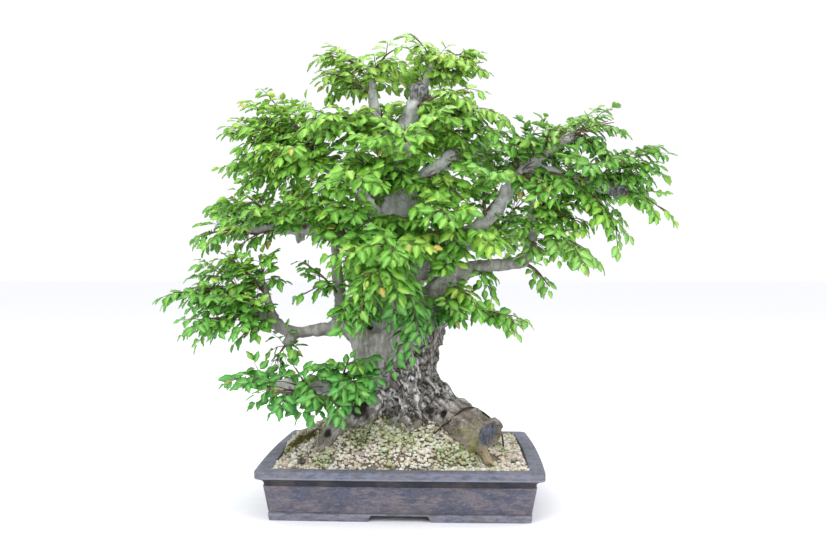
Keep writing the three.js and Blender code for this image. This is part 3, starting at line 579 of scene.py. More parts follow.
def weathering_group():
    """Clouds of lighter and darker tone at two scales, with fine grain, for every dry natural surface."""
    found = bpy.data.node_groups.get("Weathering")
    if found:
        return found
    group = bpy.data.node_groups.new("Weathering", "ShaderNodeTree")
    for name, kind, default in (
        ("Vector", "Vector", (0, 0, 0)),
        ("Colour", "Color", (0.5, 0.5, 0.5, 1)),
        ("Patch Colour", "Color", (0.7, 0.7, 0.7, 1)),
        ("Patch Scale", "Float", 40.0),
        ("Patch Amount", "Float", 0.5),
        ("Grain Scale", "Float", 600.0),
        ("Grain Amount", "Float", 0.3),
    ):
        socket = group.interface.new_socket(name=name, in_out="INPUT", socket_type=f"NodeSocket{kind}")
        socket.default_value = default
    given = add_node(group, "NodeGroupInput").outputs
    clouds = noise_value(group, given["Vector"], given["Patch Scale"], 5.0, 0.62)
    patches = remap(group, clouds, 0.42, 0.66)
    grain = noise_value(group, given["Vector"], given["Grain Scale"], 3.0, 0.6)
    base = blend(group, times(group, patches, given["Patch Amount"]), given["Colour"], given["Patch Colour"])
    dark = remap(group, grain, 0.3, 0.75)
    speckled = blend(group, given["Grain Amount"], base, blend(group, dark, (0.0, 0.0, 0.0), base))
    results = {"Colour": ("Color", speckled), "Grain": ("Float", grain), "Patches": ("Float", patches)}
    for name, (kind, _) in results.items():
        group.interface.new_socket(name=name, in_out="OUTPUT", socket_type=f"NodeSocket{kind}")
    add_node(group, "NodeGroupOutput", {name: value for name, (_, value) in results.items()})
    return group


def weathered(tree, vector, colour, patch_colour, *amounts):
    """The colour, grain and patches of a Weathering node with these patch and grain scales and amounts."""
    inputs = {"Vector": vector, "Colour": rgba(colour), "Patch Colour": rgba(patch_colour)}
    inputs.update(zip(("Patch Scale", "Patch Amount", "Grain Scale", "Grain Amount"), amounts))
    node = add_node(tree, "ShaderNodeGroup", inputs, node_tree=weathering_group())
    return node.outputs["Colour"], node.outputs["Grain"], node.outputs["Patches"]


def new_material(name, roughness=0.7, specular=0.5, metallic=0.0):
    """A material with its shader. Returns the material, its node tree and its shader."""
    material = bpy.data.materials.new(name)
    material.use_nodes = True
    shader = material.node_tree.nodes["Principled BSDF"]
    shader.inputs["Roughness"].default_value = roughness
    shader.inputs["Specular IOR Level"].default_value = specular
    shader.inputs["Metallic"].default_value = metallic
    return material, material.node_tree, shader


def dress(tree, shader, colour, height, strength, distance, roughness=None):
    """Puts a colour, a relief of a strength and depth and, where given, a roughness on a shader."""
    relief = add_node(tree, "ShaderNodeBump", {"Height": height, "Strength": strength, "Distance": distance})
    tree.links.new(colour, shader.inputs["Base Color"])
    tree.links.new(relief.outputs["Normal"], shader.inputs["Normal"])
    if roughness is not None:
        tree.links.new(roughness, shader.inputs["Roughness"])


# Plain finishes: roughness, specular level, metallic, colour, patch colour, then patch scale and
# amount with grain scale and amount, and the strength and depth in metres of the relief
PLAIN_FINISHES = {
    "drain_mesh_plastic": (0.5, 0.5, 0.0, "#2a302c", "#5b5548", (60.0, 0.6, 800.0, 0.2), (0.3, 0.0004)),
    "soil_fines": (0.95, 0.2, 0.0, "#988f7b", "#7c7056", (70.0, 0.6, 500.0, 0.6), (0.9, 0.002)),
    "young_twig": (0.65, 0.3, 0.0, "#6d5546", "#93816f", (90.0, 0.7, 700.0, 0.3), (0.5, 0.0005)),
    "dry_moss": (0.95, 0.2, 0.0, "#6d5d38", "#8a9140", (110.0, 0.8, 700.0, 0.3), (0.5, 0.0004)),
    "dark_tie_wire": (0.5, 0.5, 0.6, "#2f2925", "#5b4a3b", (120.0, 0.6, 900.0, 0.3), (0.4, 0.0003)),
}


def plain_material(name, colour=None):
    """One of the plain finishes, in its own colour or the one given."""
    roughness, specular, metallic, own, patch, amounts, relief = PLAIN_FINISHES[name]
    material, tree, shader = new_material(name, roughness, specular, metallic)
    coords, _, _ = object_coordinates(tree)
    base = tint(own) if colour is None else colour
    toned, grain, _ = weathered(tree, coords, base, tint(patch), *amounts)
    dress(tree, shader, toned, grain, *relief)
    return material


def clay_material(settings):
    """Mottled, streaked clay with a worn rim and foot, painted shade in the cove under the rim, a painted
    highlight along the rounded edge under the rim, and dust on its ledges.
    """
    material, tree, shader = new_material("unglazed_clay", specular=0.35)
    coords, _, height = object_coordinates(tree)
    streaks = drawn_noise(tree, coords, (26, 26, 260), 5.0, 0.65)
    body = blend(tree, remap(tree, streaks, 0.35, 0.7), settings.body_colour, tint("#877a80"))
    blotches = remap(tree, drawn_noise(tree, coords, (11, 11, 30), 6.0, 0.72), 0.46, 0.56)
    body = tinted(tree, body, blotches, 0.75, "#4b536a")
    specks = remap(tree, drawn_noise(tree, coords, (160, 160, 420), 3.0, 0.6), 0.52, 0.7)
    body = tinted(tree, body, specks, 0.5, "#9a9298")
    is_rim = remap(tree, height, 74.6 * MM, 76 * MM)
    is_foot = remap(tree, height, 14.5 * MM, 12.5 * MM)
    worn = times(tree, compute(tree, "MAXIMUM", is_rim, is_foot), 0.75)
    base = blend(tree, worn, body, settings.rim_colour)
    # Painted shade: the cove under the rim, 60 to 75.6 mm up, is darkened where the rim shades it.
    cove_painted_shade = times(tree, remap(tree, height, 60 * MM, 63 * MM), remap(tree, height, 75.6 * MM, 73.4 * MM))
    base = tinted(tree, base, cove_painted_shade, 0.9, "#202027")
    base = tinted(tree, base, is_foot, 0.45, "#a2a3ac")
    flecks = remap(tree, drawn_noise(tree, coords, (70, 70, 210), 6.0, 0.8), 0.42, 0.62)
    base = tinted(tree, base, flecks, 0.6, "#3a3e4b")
    colour, grain, patches = weathered(tree, coords, base, settings.dust_colour, 22.0, 0.28, 900.0, 0.35)
    # Painted highlight: a lighter band along the rounded edge under the rim, about 73.5 to 78 mm up.
    lip = times(tree, remap(tree, height, 73.5 * MM, 75.2 * MM), remap(tree, height, 78 * MM, 76 * MM))
    colour = tinted(tree, colour, lip, 0.35, "#9aa0a8")
    relief = compute(tree, "ADD", times(tree, streaks, 0.8), times(tree, grain, 0.6))
    dress(tree, shader, colour, relief, 0.55, 0.0007, remap(tree, patches, 0.0, 1.0, 0.62, 0.82))
    return material


def grain_material(settings):
    """Grains from near black through pink and cream to white by their tone, some green with algae."""
    material, tree, shader = new_material("gravel_grains", roughness=0.92, specular=0.25)
    coords, _, _ = object_coordinates(tree)
    stops = [
        (0.0, tint("#232225")), (0.05, tint("#7f7872")), (0.15, tint("#b2ada8")), (0.28, tint("#cdb0a0")),
        (0.38, tint("#e5d0c3")), (0.5, tint("#ddd7be")), (0.62, tint("#e9e2c8")),
        (0.76, settings.cream_colour), (0.88, tint("#f4f0e8")), (1.0, tint("#ffffff")),
    ]
    base = ramp(tree, attribute_value(tree, "tone"), stops)
    base = tinted(tree, base, attribute_value(tree, "algae"), 0.7, "#8aab3f")
    colour, grain, _ = weathered(tree, coords, base, tint("#ddd3b8"), 240.0, 0.25, 1500.0, 0.35)
    dress(tree, shader, colour, grain, 0.6, 0.0008)
    return material


def bark_material(settings):
    """Smooth bark above, fissured bark at the base, worn roots and sawn wood, by the wood's attributes, with
    painted shade in the cracks and hollows, on the trunk's right flank and on the outer low limbs, and
    painted light on the low left limb.
    """
    material, tree, shader = new_material("hornbeam_bark", specular=0.25)
    coords, x, z = object_coordinates(tree)
    shade_and_callus, old, cut, ridge, root = (
        attribute_value(tree, name) for name in ("shade_and_callus", "old", "cut", "ridge", "root")
    )
    fibre = drawn_noise(tree, coords, (300, 300, 90), 5.0, 0.65)
    young, grain, _ = weathered(tree, coords, settings.young_colour, tint("#7b746a"), 46.0, 0.6, 420.0, 0.3)
    streak = remap(tree, drawn_noise(tree, coords, (120, 120, 30), 4.0, 0.6), 0.45, 0.62)
    young = tinted(tree, young, streak, 0.45, "#cecdc9")
    aged, _, _ = weathered(tree, coords, settings.old_colour, tint("#655c52"), 60.0, 0.7, 300.0, 0.4)
    pale = times(tree, ridge, remap(tree, fibre, 0.3, 0.6, 0.35, 1.0))
    aged = blend(tree, times(tree, pale, 0.9), aged, settings.ridge_colour)
    base = blend(tree, old, young, aged)
    base = blend(tree, remap(tree, z, 0.2, 0.12, 0.0, 0.4), base, tint("#655546"))
    # Paler clouds on the upper wood, and painted light on the low left limb, which the foliage above shades.
    low_left = zone(tree, x, z, (-0.4, -0.145), (0.195, 0.24), 0.012)
    paler_and_painted_light = compute(tree, "MAXIMUM", remap(tree, z, 0.46, 0.54), low_left)
    cloudy = remap(tree, noise_value(tree, coords, 55.0, 5.0, 0.7), 0.38, 0.6, 0.2, 0.66)
    base = blend(tree, times(tree, paler_and_painted_light, cloudy), base, tint("#e4e6e6"))
    # Painted shade: the outer limbs low in the tree, under the foliage, are darkened, all but the low left
    # limb.
    aside = compute(tree, "ABSOLUTE", compute(tree, "ADD", x, 0.02))
    outer_limb_painted_shade = times(tree, remap(tree, aside, 0.09, 0.15), remap(tree, z, 0.49, 0.44))
    outer_limb_painted_shade = times(tree, outer_limb_painted_shade, compute(tree, "SUBTRACT", 1.0, low_left))
    base = tinted(tree, base, outer_limb_painted_shade, 0.33, "#65665f")
    # Painted shade: the right flank of the trunk, 190 to 420 mm up, is darkened.
    right_flank_painted_shade = times(tree, remap(tree, x, -0.01, 0.03), remap(tree, z, 0.19, 0.25))
    right_flank_painted_shade = times(tree, right_flank_painted_shade, remap(tree, z, 0.42, 0.34))
    base = tinted(tree, base, right_flank_painted_shade, 0.55, "#6a6558")
    root_colour = blend(tree, remap(tree, x, -0.05, 0.02), tint("#bab7b0"), tint("#96867a"))
    root_colour, _, _ = weathered(tree, coords, root_colour, tint("#64503f"), 42.0, 0.8, 350.0, 0.4)
    base = blend(tree, times(tree, root, remap(tree, fibre, 0.3, 0.6, 0.75, 0.35)), base, root_colour)
    base = tinted(tree, base, times(tree, root, remap(tree, z, 0.118, 0.1)), 0.7, "#c0a988")
    # Painted shade in the cracks and hollows, with the dark tone of the callus knobs.
    base = blend(tree, remap(tree, shade_and_callus, 0.12, 0.75), base, settings.shade_and_callus_colour)
    damp = remap(tree, noise_value(tree, coords, 34.0, 4.0, 0.6), 0.46, 0.62, 0.1, 0.75)
    damp = times(tree, damp, remap(tree, z, 0.175, 0.13))
    damp = times(tree, damp, remap(tree, x, -0.15, -0.1, 0.2, 1.0))
    damp = times(tree, damp, remap(tree, x, 0.13, 0.1, 0.3, 1.0))
    base = blend(tree, damp, base, tint("#7b7c4c"))
    sawn = blend(tree, remap(tree, fibre, 0.3, 0.7), tint("#383a42"), tint("#70737d"))
    base = blend(tree, cut, base, sawn)
    relief = compute(tree, "ADD", fibre, times(tree, grain, 0.5))
    dress(tree, shader, base, relief, 0.7, 0.0014, remap(tree, grain, 0.3, 0.7, 0.7, 0.95))
    return material


# Parts of the foliage painted lighter or darker, as painted light and shade: places across and up in metres,
# amount and colour
LEAF_PAINTED_LIGHT_ZONES = [
    ((-0.6, 0.1), (0.53, 1.0), 0.2, "#9dda45"),
    ((0.15, 0.6), (0.56, 0.8), 0.3, "#2f6a24"),
    ((-0.4, -0.1), (0.1, 0.29), 0.2, "#2f6e44"),
    ((0.16, 0.6), (0.1, 0.49), 0.3, "#b4dd84"),
    ((-0.08, 0.07), (0.1, 0.37), 0.55, "#2c7033"),
]
LEAF_VEINS = 10


def leaf_material(settings):
    """Leaf green by the tone of each leaf, with its veins along the leaf's own UV map."""
    material, tree, shader = new_material("hornbeam_leaf", roughness=0.42, specular=0.55)
    uv = add_node(tree, "ShaderNodeUVMap", uv_map="leaf").outputs["UV"]
    split = add_node(tree, "ShaderNodeSeparateXYZ", {"Vector": uv})
    across = compute(tree, "ABSOLUTE", compute(tree, "SUBTRACT", split.outputs["Y"], 0.5))
    across = times(tree, across, 2.0)
    stops = [
        (0.0, settings.deep_colour), (0.35, tint("#5ba632")), (0.6, settings.mid_colour),
        (0.82, settings.fresh_colour), (0.94, tint("#cbdc68")), (1.0, settings.bronze_colour),
    ]
    base = ramp(tree, attribute_value(tree, "tone"), stops)
    slant = compute(tree, "SUBTRACT", split.outputs["X"], times(tree, across, 0.2))
    wave = compute(tree, "SINE", times(tree, slant, 2 * math.pi * LEAF_VEINS))
    veins = times(tree, remap(tree, wave, 0.55, 1.0), 0.45)
    lines = compute(tree, "MAXIMUM", veins, remap(tree, across, 0.1, 0.02))
    base = tinted(tree, base, lines, 0.45, "#cfe28e")
    coords, x, z = object_coordinates(tree)
    mottle = noise_value(tree, coords, 160.0)
    base = blend(tree, remap(tree, mottle, 0.35, 0.7, 0.0, 0.3), base, tint("#88c344"))
    base = blend(tree, remap(tree, z, 0.46, 0.2, 0.0, 0.4), base, tint("#3fa352"))
    base = blend(tree, remap(tree, z, 0.6, 0.84, 0.0, 0.32), base, tint("#b8c262"))
    # Painted light and shade by region of the foliage: lighter at the upper left and low at the right, darker
    # at the upper right, low at the left and low in the middle.
    for across_tree, up_tree, amount, code in LEAF_PAINTED_LIGHT_ZONES:
        base = tinted(tree, base, zone(tree, x, z, across_tree, up_tree), amount, code)
    dress(tree, shader, base, lines, -0.35, 0.0005, remap(tree, mottle, 0.3, 0.7, 0.32, 0.48))
    return material


def floor_material(settings):
    material, tree, shader = new_material("studio_floor", roughness=0.8, specular=0.2)
    coords, _, _ = object_coordinates(tree)
    colour, _, _ = weathered(tree, coords, settings.floor_colour, settings.floor_colour, 3.0, 0.1, 40.0, 0.02)
    tree.links.new(colour, shader.inputs["Base Color"])
    return material


def make_piece(name, mesh, materials, replaces=()):
    """Links a finished mesh, puts its materials on and lets it ride with the body."""
    for material in materials:
        mesh.materials.append(material)
    piece = bpy.data.objects.new(name, mesh)
    bpy.context.scene.collection.objects.link(piece)
    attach(piece, BODY)
    if replaces:
        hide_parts(*replaces)
    return piece


def bmesh_to_mesh(bm, name, smooth=True):
    mesh = bpy.data.meshes.new(name)
    bm.to_mesh(mesh)
    bm.free()
    if smooth:
        mesh.shade_smooth()
    return mesh


def evaluated_mesh(mesh, modifiers):
    """The mesh after modifiers, each a (kind, settings) pair, have worked on it in turn."""
    helper = bpy.data.objects.new("helper", mesh)
    bpy.context.scene.collection.objects.link(helper)
    for kind, settings in modifiers:
        modifier = helper.modifiers.new(kind.lower(), kind)
        for key, value in settings.items():
            setattr(modifier, key, value)
    graph = bpy.context.evaluated_depsgraph_get()
    result = bpy.data.meshes.new_from_object(helper.evaluated_get(graph))
    bpy.data.objects.remove(helper)
    return result


def set_point_values(mesh, name, values):
    attribute = mesh.attributes.new(name, "FLOAT", "POINT")
    attribute.data.foreach_set("value", values)


def ring_stack(rings):
    """A closed bmesh through rings of points, each extruded from the ring before it."""
    bm = bmesh.new()
    order = bm.verts.layers.int.new("order")
    verts = bmesh.ops.create_circle(bm, cap_ends=True, segments=len(rings[0]), radius=1)["verts"]
    for index, vert in enumerate(verts):
        vert[order] = index
        vert.co = rings[0][index]
    edges = bm.edges[:]
    for ring in rings[1:]:
        grown = bmesh.ops.extrude_edge_only(bm, edges=edges)["geom"]
        edges = [part for part in grown if isinstance(part, bmesh.types.BMEdge)]
        for vert in (part for part in grown if isinstance(part, bmesh.types.BMVert)):
            vert.co = ring[vert[order]]
    bmesh.ops.edgeloop_fill(bm, edges=edges)
    bm.verts.layers.int.remove(order)
    bmesh.ops.recalc_face_normals(bm, faces=bm.faces[:])
    return bm


def smooth_path(points, steps):
    """Points with radii along a centripetal curve through (x, y, z, radius) points."""
    spots = [Vector(point[:3]) for point in points]
    spots = [2 * spots[0] - spots[1], *spots, 2 * spots[-1] - spots[-2]]
    path = []
    for index in range(len(points) - 1):
        a, b, c, d = spots[index : index + 4]
        first, second, third = (max(math.sqrt((q - p).length), 1e-4) for p, q in ((a, b), (b, c), (c, d)))
        leave = ((b - a) / first - (c - a) / (first + second) + (c - b) / second) * second
        arrive = ((c - b) / second - (d - b) / (second + third) + (d - c) / third) * second
        for k in range(steps):
            t = k / steps
            spot = (
                b * (2 * t**3 - 3 * t**2 + 1) + leave * (t**3 - 2 * t**2 + t)
                + c * (3 * t**2 - 2 * t**3) + arrive * (t**3 - t**2)
            )
            radius = points[index][3] * (1 - t) + points[index + 1][3] * t
            path.append((spot, radius))
    path.append((Vector(points[-1][:3]), points[-1][3]))
    return path


def tube_curve(name, paths, resolution):
    """A mesh of round closed runs, each a list of (point, radius) pairs in millimetres."""
    curve = bpy.data.curves.new(name, "CURVE")
    curve.dimensions = "3D"
    curve.bevel_depth = MM
    curve.bevel_resolution = resolution
    curve.use_fill_caps = True
    for path in paths:
        spline = curve.splines.new("POLY")
        spline.points.add(len(path) - 1)
        for knot, (spot, radius) in zip(spline.points, path):
            knot.co = (*place(*spot), 1)
            knot.radius = radius
    helper = bpy.data.objects.new(name, curve)
    mesh = bpy.data.meshes.new_from_object(helper)
    bpy.data.objects.remove(helper)
    bpy.data.curves.remove(curve)
    bm = bmesh.new()
    bm.from_mesh(mesh)
    bpy.data.meshes.remove(mesh)
    bmesh.ops.remove_doubles(bm, verts=bm.verts[:], dist=1e-7)
    return bmesh_to_mesh(bm, name)


def pot_plan(inset, height, settings):
    """Ring of points round the pot: rounded corners and slightly bowed sides, inset from the rim."""
    half_width = POT_HALF_WIDTH - POT_SIDE_BOW - inset
    half_depth = POT_HALF_DEPTH - POT_FRONT_BOW - inset
    radius = max(POT_CORNER_RADIUS - inset * POT_CORNER_TIGHTENING, POT_LEAST_CORNER_RADIUS)
    ring = []
    for corner, (sign_x, sign_y) in enumerate(((1, -1), (1, 1), (-1, 1), (-1, -1))):
        for k in range(settings.corner_steps + 1):
            angle = math.radians(90 * (corner - 1 + k / settings.corner_steps))
            x = sign_x * (half_width - radius) + radius * math.cos(angle)
            y = sign_y * (half_depth - radius) + radius * math.sin(angle)
            ring.append(place(x, y, height))
        for k in range(1, settings.side_steps):
            along = 2 * k / settings.side_steps - 1
            bulge = 1 - along * along
            if corner % 2 == 0:
                x = sign_x * (half_width + POT_SIDE_BOW * bulge)
                y = sign_x * along * (half_depth - radius)
            else:
                x = -sign_y * along * (half_width - radius)
                y = sign_y * (half_depth + POT_FRONT_BOW * bulge)
            ring.append(place(x, y, height))
    return ring


def ground_height(x, y):
    """Height of the mounded soil in millimetres."""
    across_x = (x - SOIL_MOUND_CENTRE[0]) / SOIL_MOUND_RADII[0]
    across_y = (y - SOIL_MOUND_CENTRE[1]) / SOIL_MOUND_RADII[1]
    rise = max(0.0, 1 - across_x**2 - across_y**2)
    return SOIL_EDGE_HEIGHT + SOIL_MOUND_HEIGHT * rise**SOIL_MOUND_ROUNDING


def foot_gap_cutter(turn):
    """A bar, wider below, that opens the foot at the middle of two opposite sides."""
    bm = bmesh.new()
    bmesh.ops.create_cube(bm, size=1)
    for vert in bm.verts:
        is_top = vert.co.z > 0
        vert.co.x = math.copysign((FOOT_GAP_TOP if is_top else FOOT_GAP_BOTTOM) / 2, vert.co.x)
        vert.co.y = math.copysign(POT_HALF_WIDTH * 1.1, vert.co.y)
        vert.co.z = FOOT_TOP if is_top else -OVERCUT
    bmesh.ops.rotate(bm, verts=bm.verts, matrix=Matrix.Rotation(turn, 3, "Z"))
    for vert in bm.verts:
        vert.co = place(*vert.co)
    return bm


def drain_cutter(x):
    """A cylinder through the pot's floor."""
    radius = DRAIN_RADIUS * MM
    bm = bmesh.new()
    bmesh.ops.create_cone(
        bm, cap_ends=True, segments=DRAIN_SIDES, radius1=radius, radius2=radius,
        depth=DRAIN_CUT_DEPTH * MM, matrix=Matrix.Translation(place(x, 0, SOIL_FLOOR)),
    )
    return bm


def carved_mesh(shell, cutters):
    """The mesh of a closed shell with the cutters taken out of it."""
    helpers = []
    for cutter in cutters:
        helper = bpy.data.objects.new("cutter", bmesh_to_mesh(cutter, "cutter", smooth=False))
        bpy.context.scene.collection.objects.link(helper)
        helpers.append(helper)
    cut = {"operation": "DIFFERENCE", "solver": "EXACT"}
    mesh = evaluated_mesh(
        bmesh_to_mesh(shell, "pot_shell", smooth=False),
        [("BOOLEAN", {**cut, "object": helper}) for helper in helpers],
    )
    for helper in helpers:
        bpy.data.objects.remove(helper)
    return mesh


class BONSAI_OT_pot(bpy.types.Operator):
    """Make the fired clay pot with its rim, cove, groove, foot and drain holes"""

    bl_idname = "bonsai.pot"
    bl_label = "Clay pot"

    def execute(self, context):
        settings = context.scene.bonsai_pot
        foot_low = pot_plan(FOOT_INSIDE_INSET + 1, -OVERCUT, settings)
        foot_high = pot_plan(FOOT_INSIDE_INSET, FOOT_TOP, settings)
        cutters = [
            ring_stack([foot_low, foot_high]),
            foot_gap_cutter(0),
            foot_gap_cutter(math.pi / 2),
            drain_cutter(-DRAIN_SPACING / 2),
            drain_cutter(DRAIN_SPACING / 2),
        ]
        shell = ring_stack([pot_plan(inset, height, settings) for height, inset in POT_PROFILE])
        mesh = carved_mesh(shell, cutters)
        for vert in mesh.vertices:
            spot = vert.co - POT_CENTRE
            wobble = noise.noise(Vector((spot.x * 14, spot.y * 14, spot.z * 60)))
            outward = Vector((vert.normal.x, vert.normal.y, 0))
            if spot.z > FOOT_TOP * MM:
                vert.co += outward * wobble * settings.hand_relief
        mesh.shade_smooth()
        mesh.set_sharp_from_angle(angle=POT_SHARP_ANGLE)
        make_piece("clay_pot", mesh, [clay_material(settings)], ["pot"])
        return {"FINISHED"}


class BONSAI_OT_drain_screens(bpy.types.Operator):
    """Give the plastic mesh over the drain holes its material"""

    bl_idname = "bonsai.drain_screens"
    bl_label = "Drain screens"

    def execute(self, context):
        material = plain_material("drain_mesh_plastic")
        for name in ("drain_screen_left", "drain_screen_right"):
            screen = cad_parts[name]
            screen.data.materials.clear()
            screen.data.materials.append(material)
        return {"FINISHED"}


def trunk_skin(angle, t):
    """Shallow flutes that deepen towards the roots."""
    flare = (1 - t) ** 1.5
    flutes = 0.13 * math.cos(5 * angle + 0.6) + 0.07 * math.cos(8 * angle + 4 * t)
    slim = 1 - 0.12 * math.sin(angle) ** 2
    return slim * (1 + flutes * (0.4 + flare) + 0.03 * math.sin(11 * t + 3 * angle))


def trunk_base_bmesh():
    """The flared trunk base as a closed stack of fluted rings."""
    path = smooth_path(TRUNK_BASE, 4)
    rings = []
    for index, (centre, radius) in enumerate(path):
        ring = []
        for k in range(TRUNK_SIDES):
            angle = 2 * math.pi * k / TRUNK_SIDES
            reach = radius * trunk_skin(angle, index / (len(path) - 1))
            x = centre.x + reach * math.cos(angle)
            y = centre.y - reach * math.sin(angle)
            ring.append(place(x, y, centre.z))
        rings.append(ring)
    return ring_stack(rings)


def old_bark(spot):
    """1 on the fissured bark at the base, 0 on the smooth bark above it."""
    edge = OLD_BARK_TOP + 1.15 * min(max(spot.x, -90), 70) + 26 * noise.noise(spot / 40)
    return 1 - ease(edge - OLD_BARK_SOFTNESS, edge + OLD_BARK_SOFTNESS, spot.z)


def drawn_out(spot, way, size, stretch):
    """A point in a noise field whose pattern has this size and is drawn out along one way."""
    return (spot - way * spot.dot(way) * (1 - 1 / stretch)) / size


def fibre_noise(spot, size, stretch, octaves):
    """Noise drawn out along the wood: up the trunk, and out along the right and the left root."""
    low = 1 - ease(215, 290, spot.z)
    right = low * ease(30, 85, spot.x + 0.3 * (200 - spot.z))
    left = low * ease(50, 95, 0.3 * (180 - spot.z) - spot.x)
    front = max(0.0, low * ease(-80, -20, spot.x) - right)
    trunk = 1 - right - left - front
    value = 0.0
    for way, share in ((UP, trunk), (FRONT_FIBRES, front), (RIGHT_FIBRES, right), (LEFT_FIBRES, left)):
        if share > 0:
            value += share * noise.fractal(drawn_out(spot, way, size, stretch), 0.8, 2.1, octaves)
    return value


def root_skin(spot):
    """1 out on the worn skin of the right and the left root, 0 on the trunk."""
    right = ease(48, 92, spot.x) * (1 - ease(176, 204, spot.z))
    left = ease(74, 106, -spot.x) * (1 - ease(146, 176, spot.z))
    return max(right, left)


def bark_relief(spot, girth, settings):
    """Height of the bark over the bare wood in millimetres, and its shares of painted shade in cracks and
    hollows (with the dark tone of the callus knobs), age, ridge and root.
    """
    root = root_skin(spot)
    old = old_bark(spot)
    rough = old * (1 - 0.35 * root)
    stout = min(girth / 40, 1.0)
    height = noise.noise(spot / (7 + girth * 0.55)) * 0.3 * min(girth, 30)
    height += (noise.noise(drawn_out(spot, UP, 22, 3)) * 7 + noise.noise(spot / 31) * 6) * stout**2
    coarse = fibre_noise(spot, *COARSE_FIBRES)
    fine = fibre_noise(spot, *FINE_FIBRES)
    crack = max(0.0, 1 - abs(coarse) * 4.5) ** 1.3
    hair = max(0.0, 1 - abs(fine) * 3.4)
    height -= crack * (settings.fissure_depth / MM) * (0.15 + 0.85 * rough) * stout
    height -= hair * 1.5 * (0.2 + 0.8 * rough) * stout
    height += fine * 1.2 * (0.3 + 0.7 * rough) * stout
    # Painted shade in the cracks, which darkens the bark's colour there.
    shade_and_callus = max(crack * (0.12 + 0.8 * rough), 0.65 * hair * (0.1 + 0.9 * rough))
    ridge = ease(-0.02, 0.34, fine + 0.5 * coarse) * (1 - 0.35 * root)
    for centre, radius, depth in HOLLOWS:
        distance = (spot - Vector(centre)).length / radius
        if distance < 1.3:
            bowl = max(0.0, 1 - distance**2) ** 2
            lip = math.exp(-(((distance - 1.02) / 0.16) ** 2))
            height += 0.18 * depth * lip - depth * bowl
            # Painted shade in the hollow, less of it on the hollow's lip.
            shade_and_callus = max(shade_and_callus * (1 - 0.6 * lip), min(1.0, 1.7 * bowl))
    for *centre, radius in KNOBS:
        near = 1 - ease(0.95, 1.35, (spot - Vector(centre)).length / radius)
        height += 3 * coarse * near
        # The callus knobs get a dark tone of their own.
        shade_and_callus = max(shade_and_callus * (1 - 0.5 * near), near * (0.48 + 0.2 * hair))
    return height, min(shade_and_callus, 1.0), old, ridge, root


def saw(spot):
    """The spot pushed back to the sawn face that it lies beyond, and its share of sawn face."""
    for centre, facing, radius in SAWN_ENDS:
        away = spot - Vector(centre)
        axis = Vector(facing).normalized()
        along = away.dot(axis)
        out = (away - axis * along).length / radius
        if along < -0.5 * radius or out > 1.7:
            continue
        face = 1 - ease(0.74, 0.92, out)
        rim = 0.2 * math.exp(-(((out - 1.08) / 0.2) ** 2))
        level = radius * (rim - 0.1 * face + 3 * max(0.0, out - 1.12))
        if along > level - 0.04 * radius:
            return spot + axis * (level - along), face
    return spot, 0.0


class BONSAI_OT_wood(bpy.types.Operator):
    """Grow the trunk, roots and limbs as one piece of wood with its bark relief"""

    bl_idname = "bonsai.wood"
    bl_label = "Wood"

    def execute(self, context):
        settings = context.scene.bonsai_wood
        runs = [smooth_path(run, 5) for run in [*ROOTS, *LIMBS.values()]]
        bm = trunk_base_bmesh()
        bm.from_mesh(tube_curve("limbs", runs, 5))
        for x, y, z, radius in KNOBS:
            matrix = Matrix.Translation(place(x, y, z))
            bmesh.ops.create_icosphere(bm, subdivisions=3, radius=radius * MM, matrix=matrix)
        mesh = evaluated_mesh(bmesh_to_mesh(bm, "wood_core"), [
            ("REMESH", {"mode": "VOXEL", "voxel_size": settings.voxel_size}),
            ("SMOOTH", {"factor": 0.6, "iterations": 4}),
        ])
        samples = [pair for run in [smooth_path(TRUNK_BASE, 5), *runs] for pair in run]
        tree = KDTree(len(samples))
        for index, (spot, _) in enumerate(samples):
            tree.insert(spot, index)
        tree.balance()
        # The first share is painted shade in cracks and hollows, with the dark tone of the callus knobs.
        shares = {"shade_and_callus": [], "old": [], "ridge": [], "root": [], "cut": []}
        spots = []
        for vert in mesh.vertices:
            spot = (vert.co - POT_CENTRE) / MM
            girth = samples[tree.find(spot)[1]][1]
            height, shade_and_callus, old, ridge, root = bark_relief(spot, girth, settings)
            spot, cut = saw(spot + vert.normal * height)
            spots.append(place(*spot))
            for values, value in zip(shares.values(), (shade_and_callus * (1 - cut), old, ridge, root, cut)):
                values.append(value)
        for vert, spot in zip(mesh.vertices, spots):
            vert.co = spot
        for name, values in shares.items():
            set_point_values(mesh, name, values)
        mesh.shade_smooth()
        make_piece("wood", mesh, [bark_material(settings)], ["trunk"])
        return {"FINISHED"}


def scatter(bm, template, matrices):
    """Adds a copy of a small template mesh for each matrix."""
    for matrix in matrices:
        copy = template.copy()
        copy.transform(matrix)
        bm.from_mesh(copy)
        bpy.data.meshes.remove(copy)


def grain_template():
    bm = bmesh.new()
    bmesh.ops.create_icosphere(bm, subdivisions=1, radius=0.5)
    draw = random.Random(GRAIN_SEED)
    for vert in bm.verts:
        vert.co *= draw.uniform(0.82, 1.18)
    return bmesh_to_mesh(bm, "grain", smooth=False)


def soil_bed(pot_settings):
    """The mound of fines that fills the pot."""
    edge = pot_plan(SOIL_EDGE_INSET, 0, pot_settings)
    rings = [[Vector((spot.x, spot.y, SOIL_FLOOR * MM)) for spot in edge]]
    for k in range(SOIL_RINGS):
        ring = []
        for spot in edge:
            x, y, _ = (spot - POT_CENTRE) / MM * (1 - k / SOIL_RINGS)
            dip = noise.noise(Vector((x / 9, y / 9, 0))) * 1.4 - 2.2
            ring.append(place(x, y, ground_height(x, y) + dip))
        rings.append(ring)
    return bmesh_to_mesh(ring_stack(rings), "soil_bed")


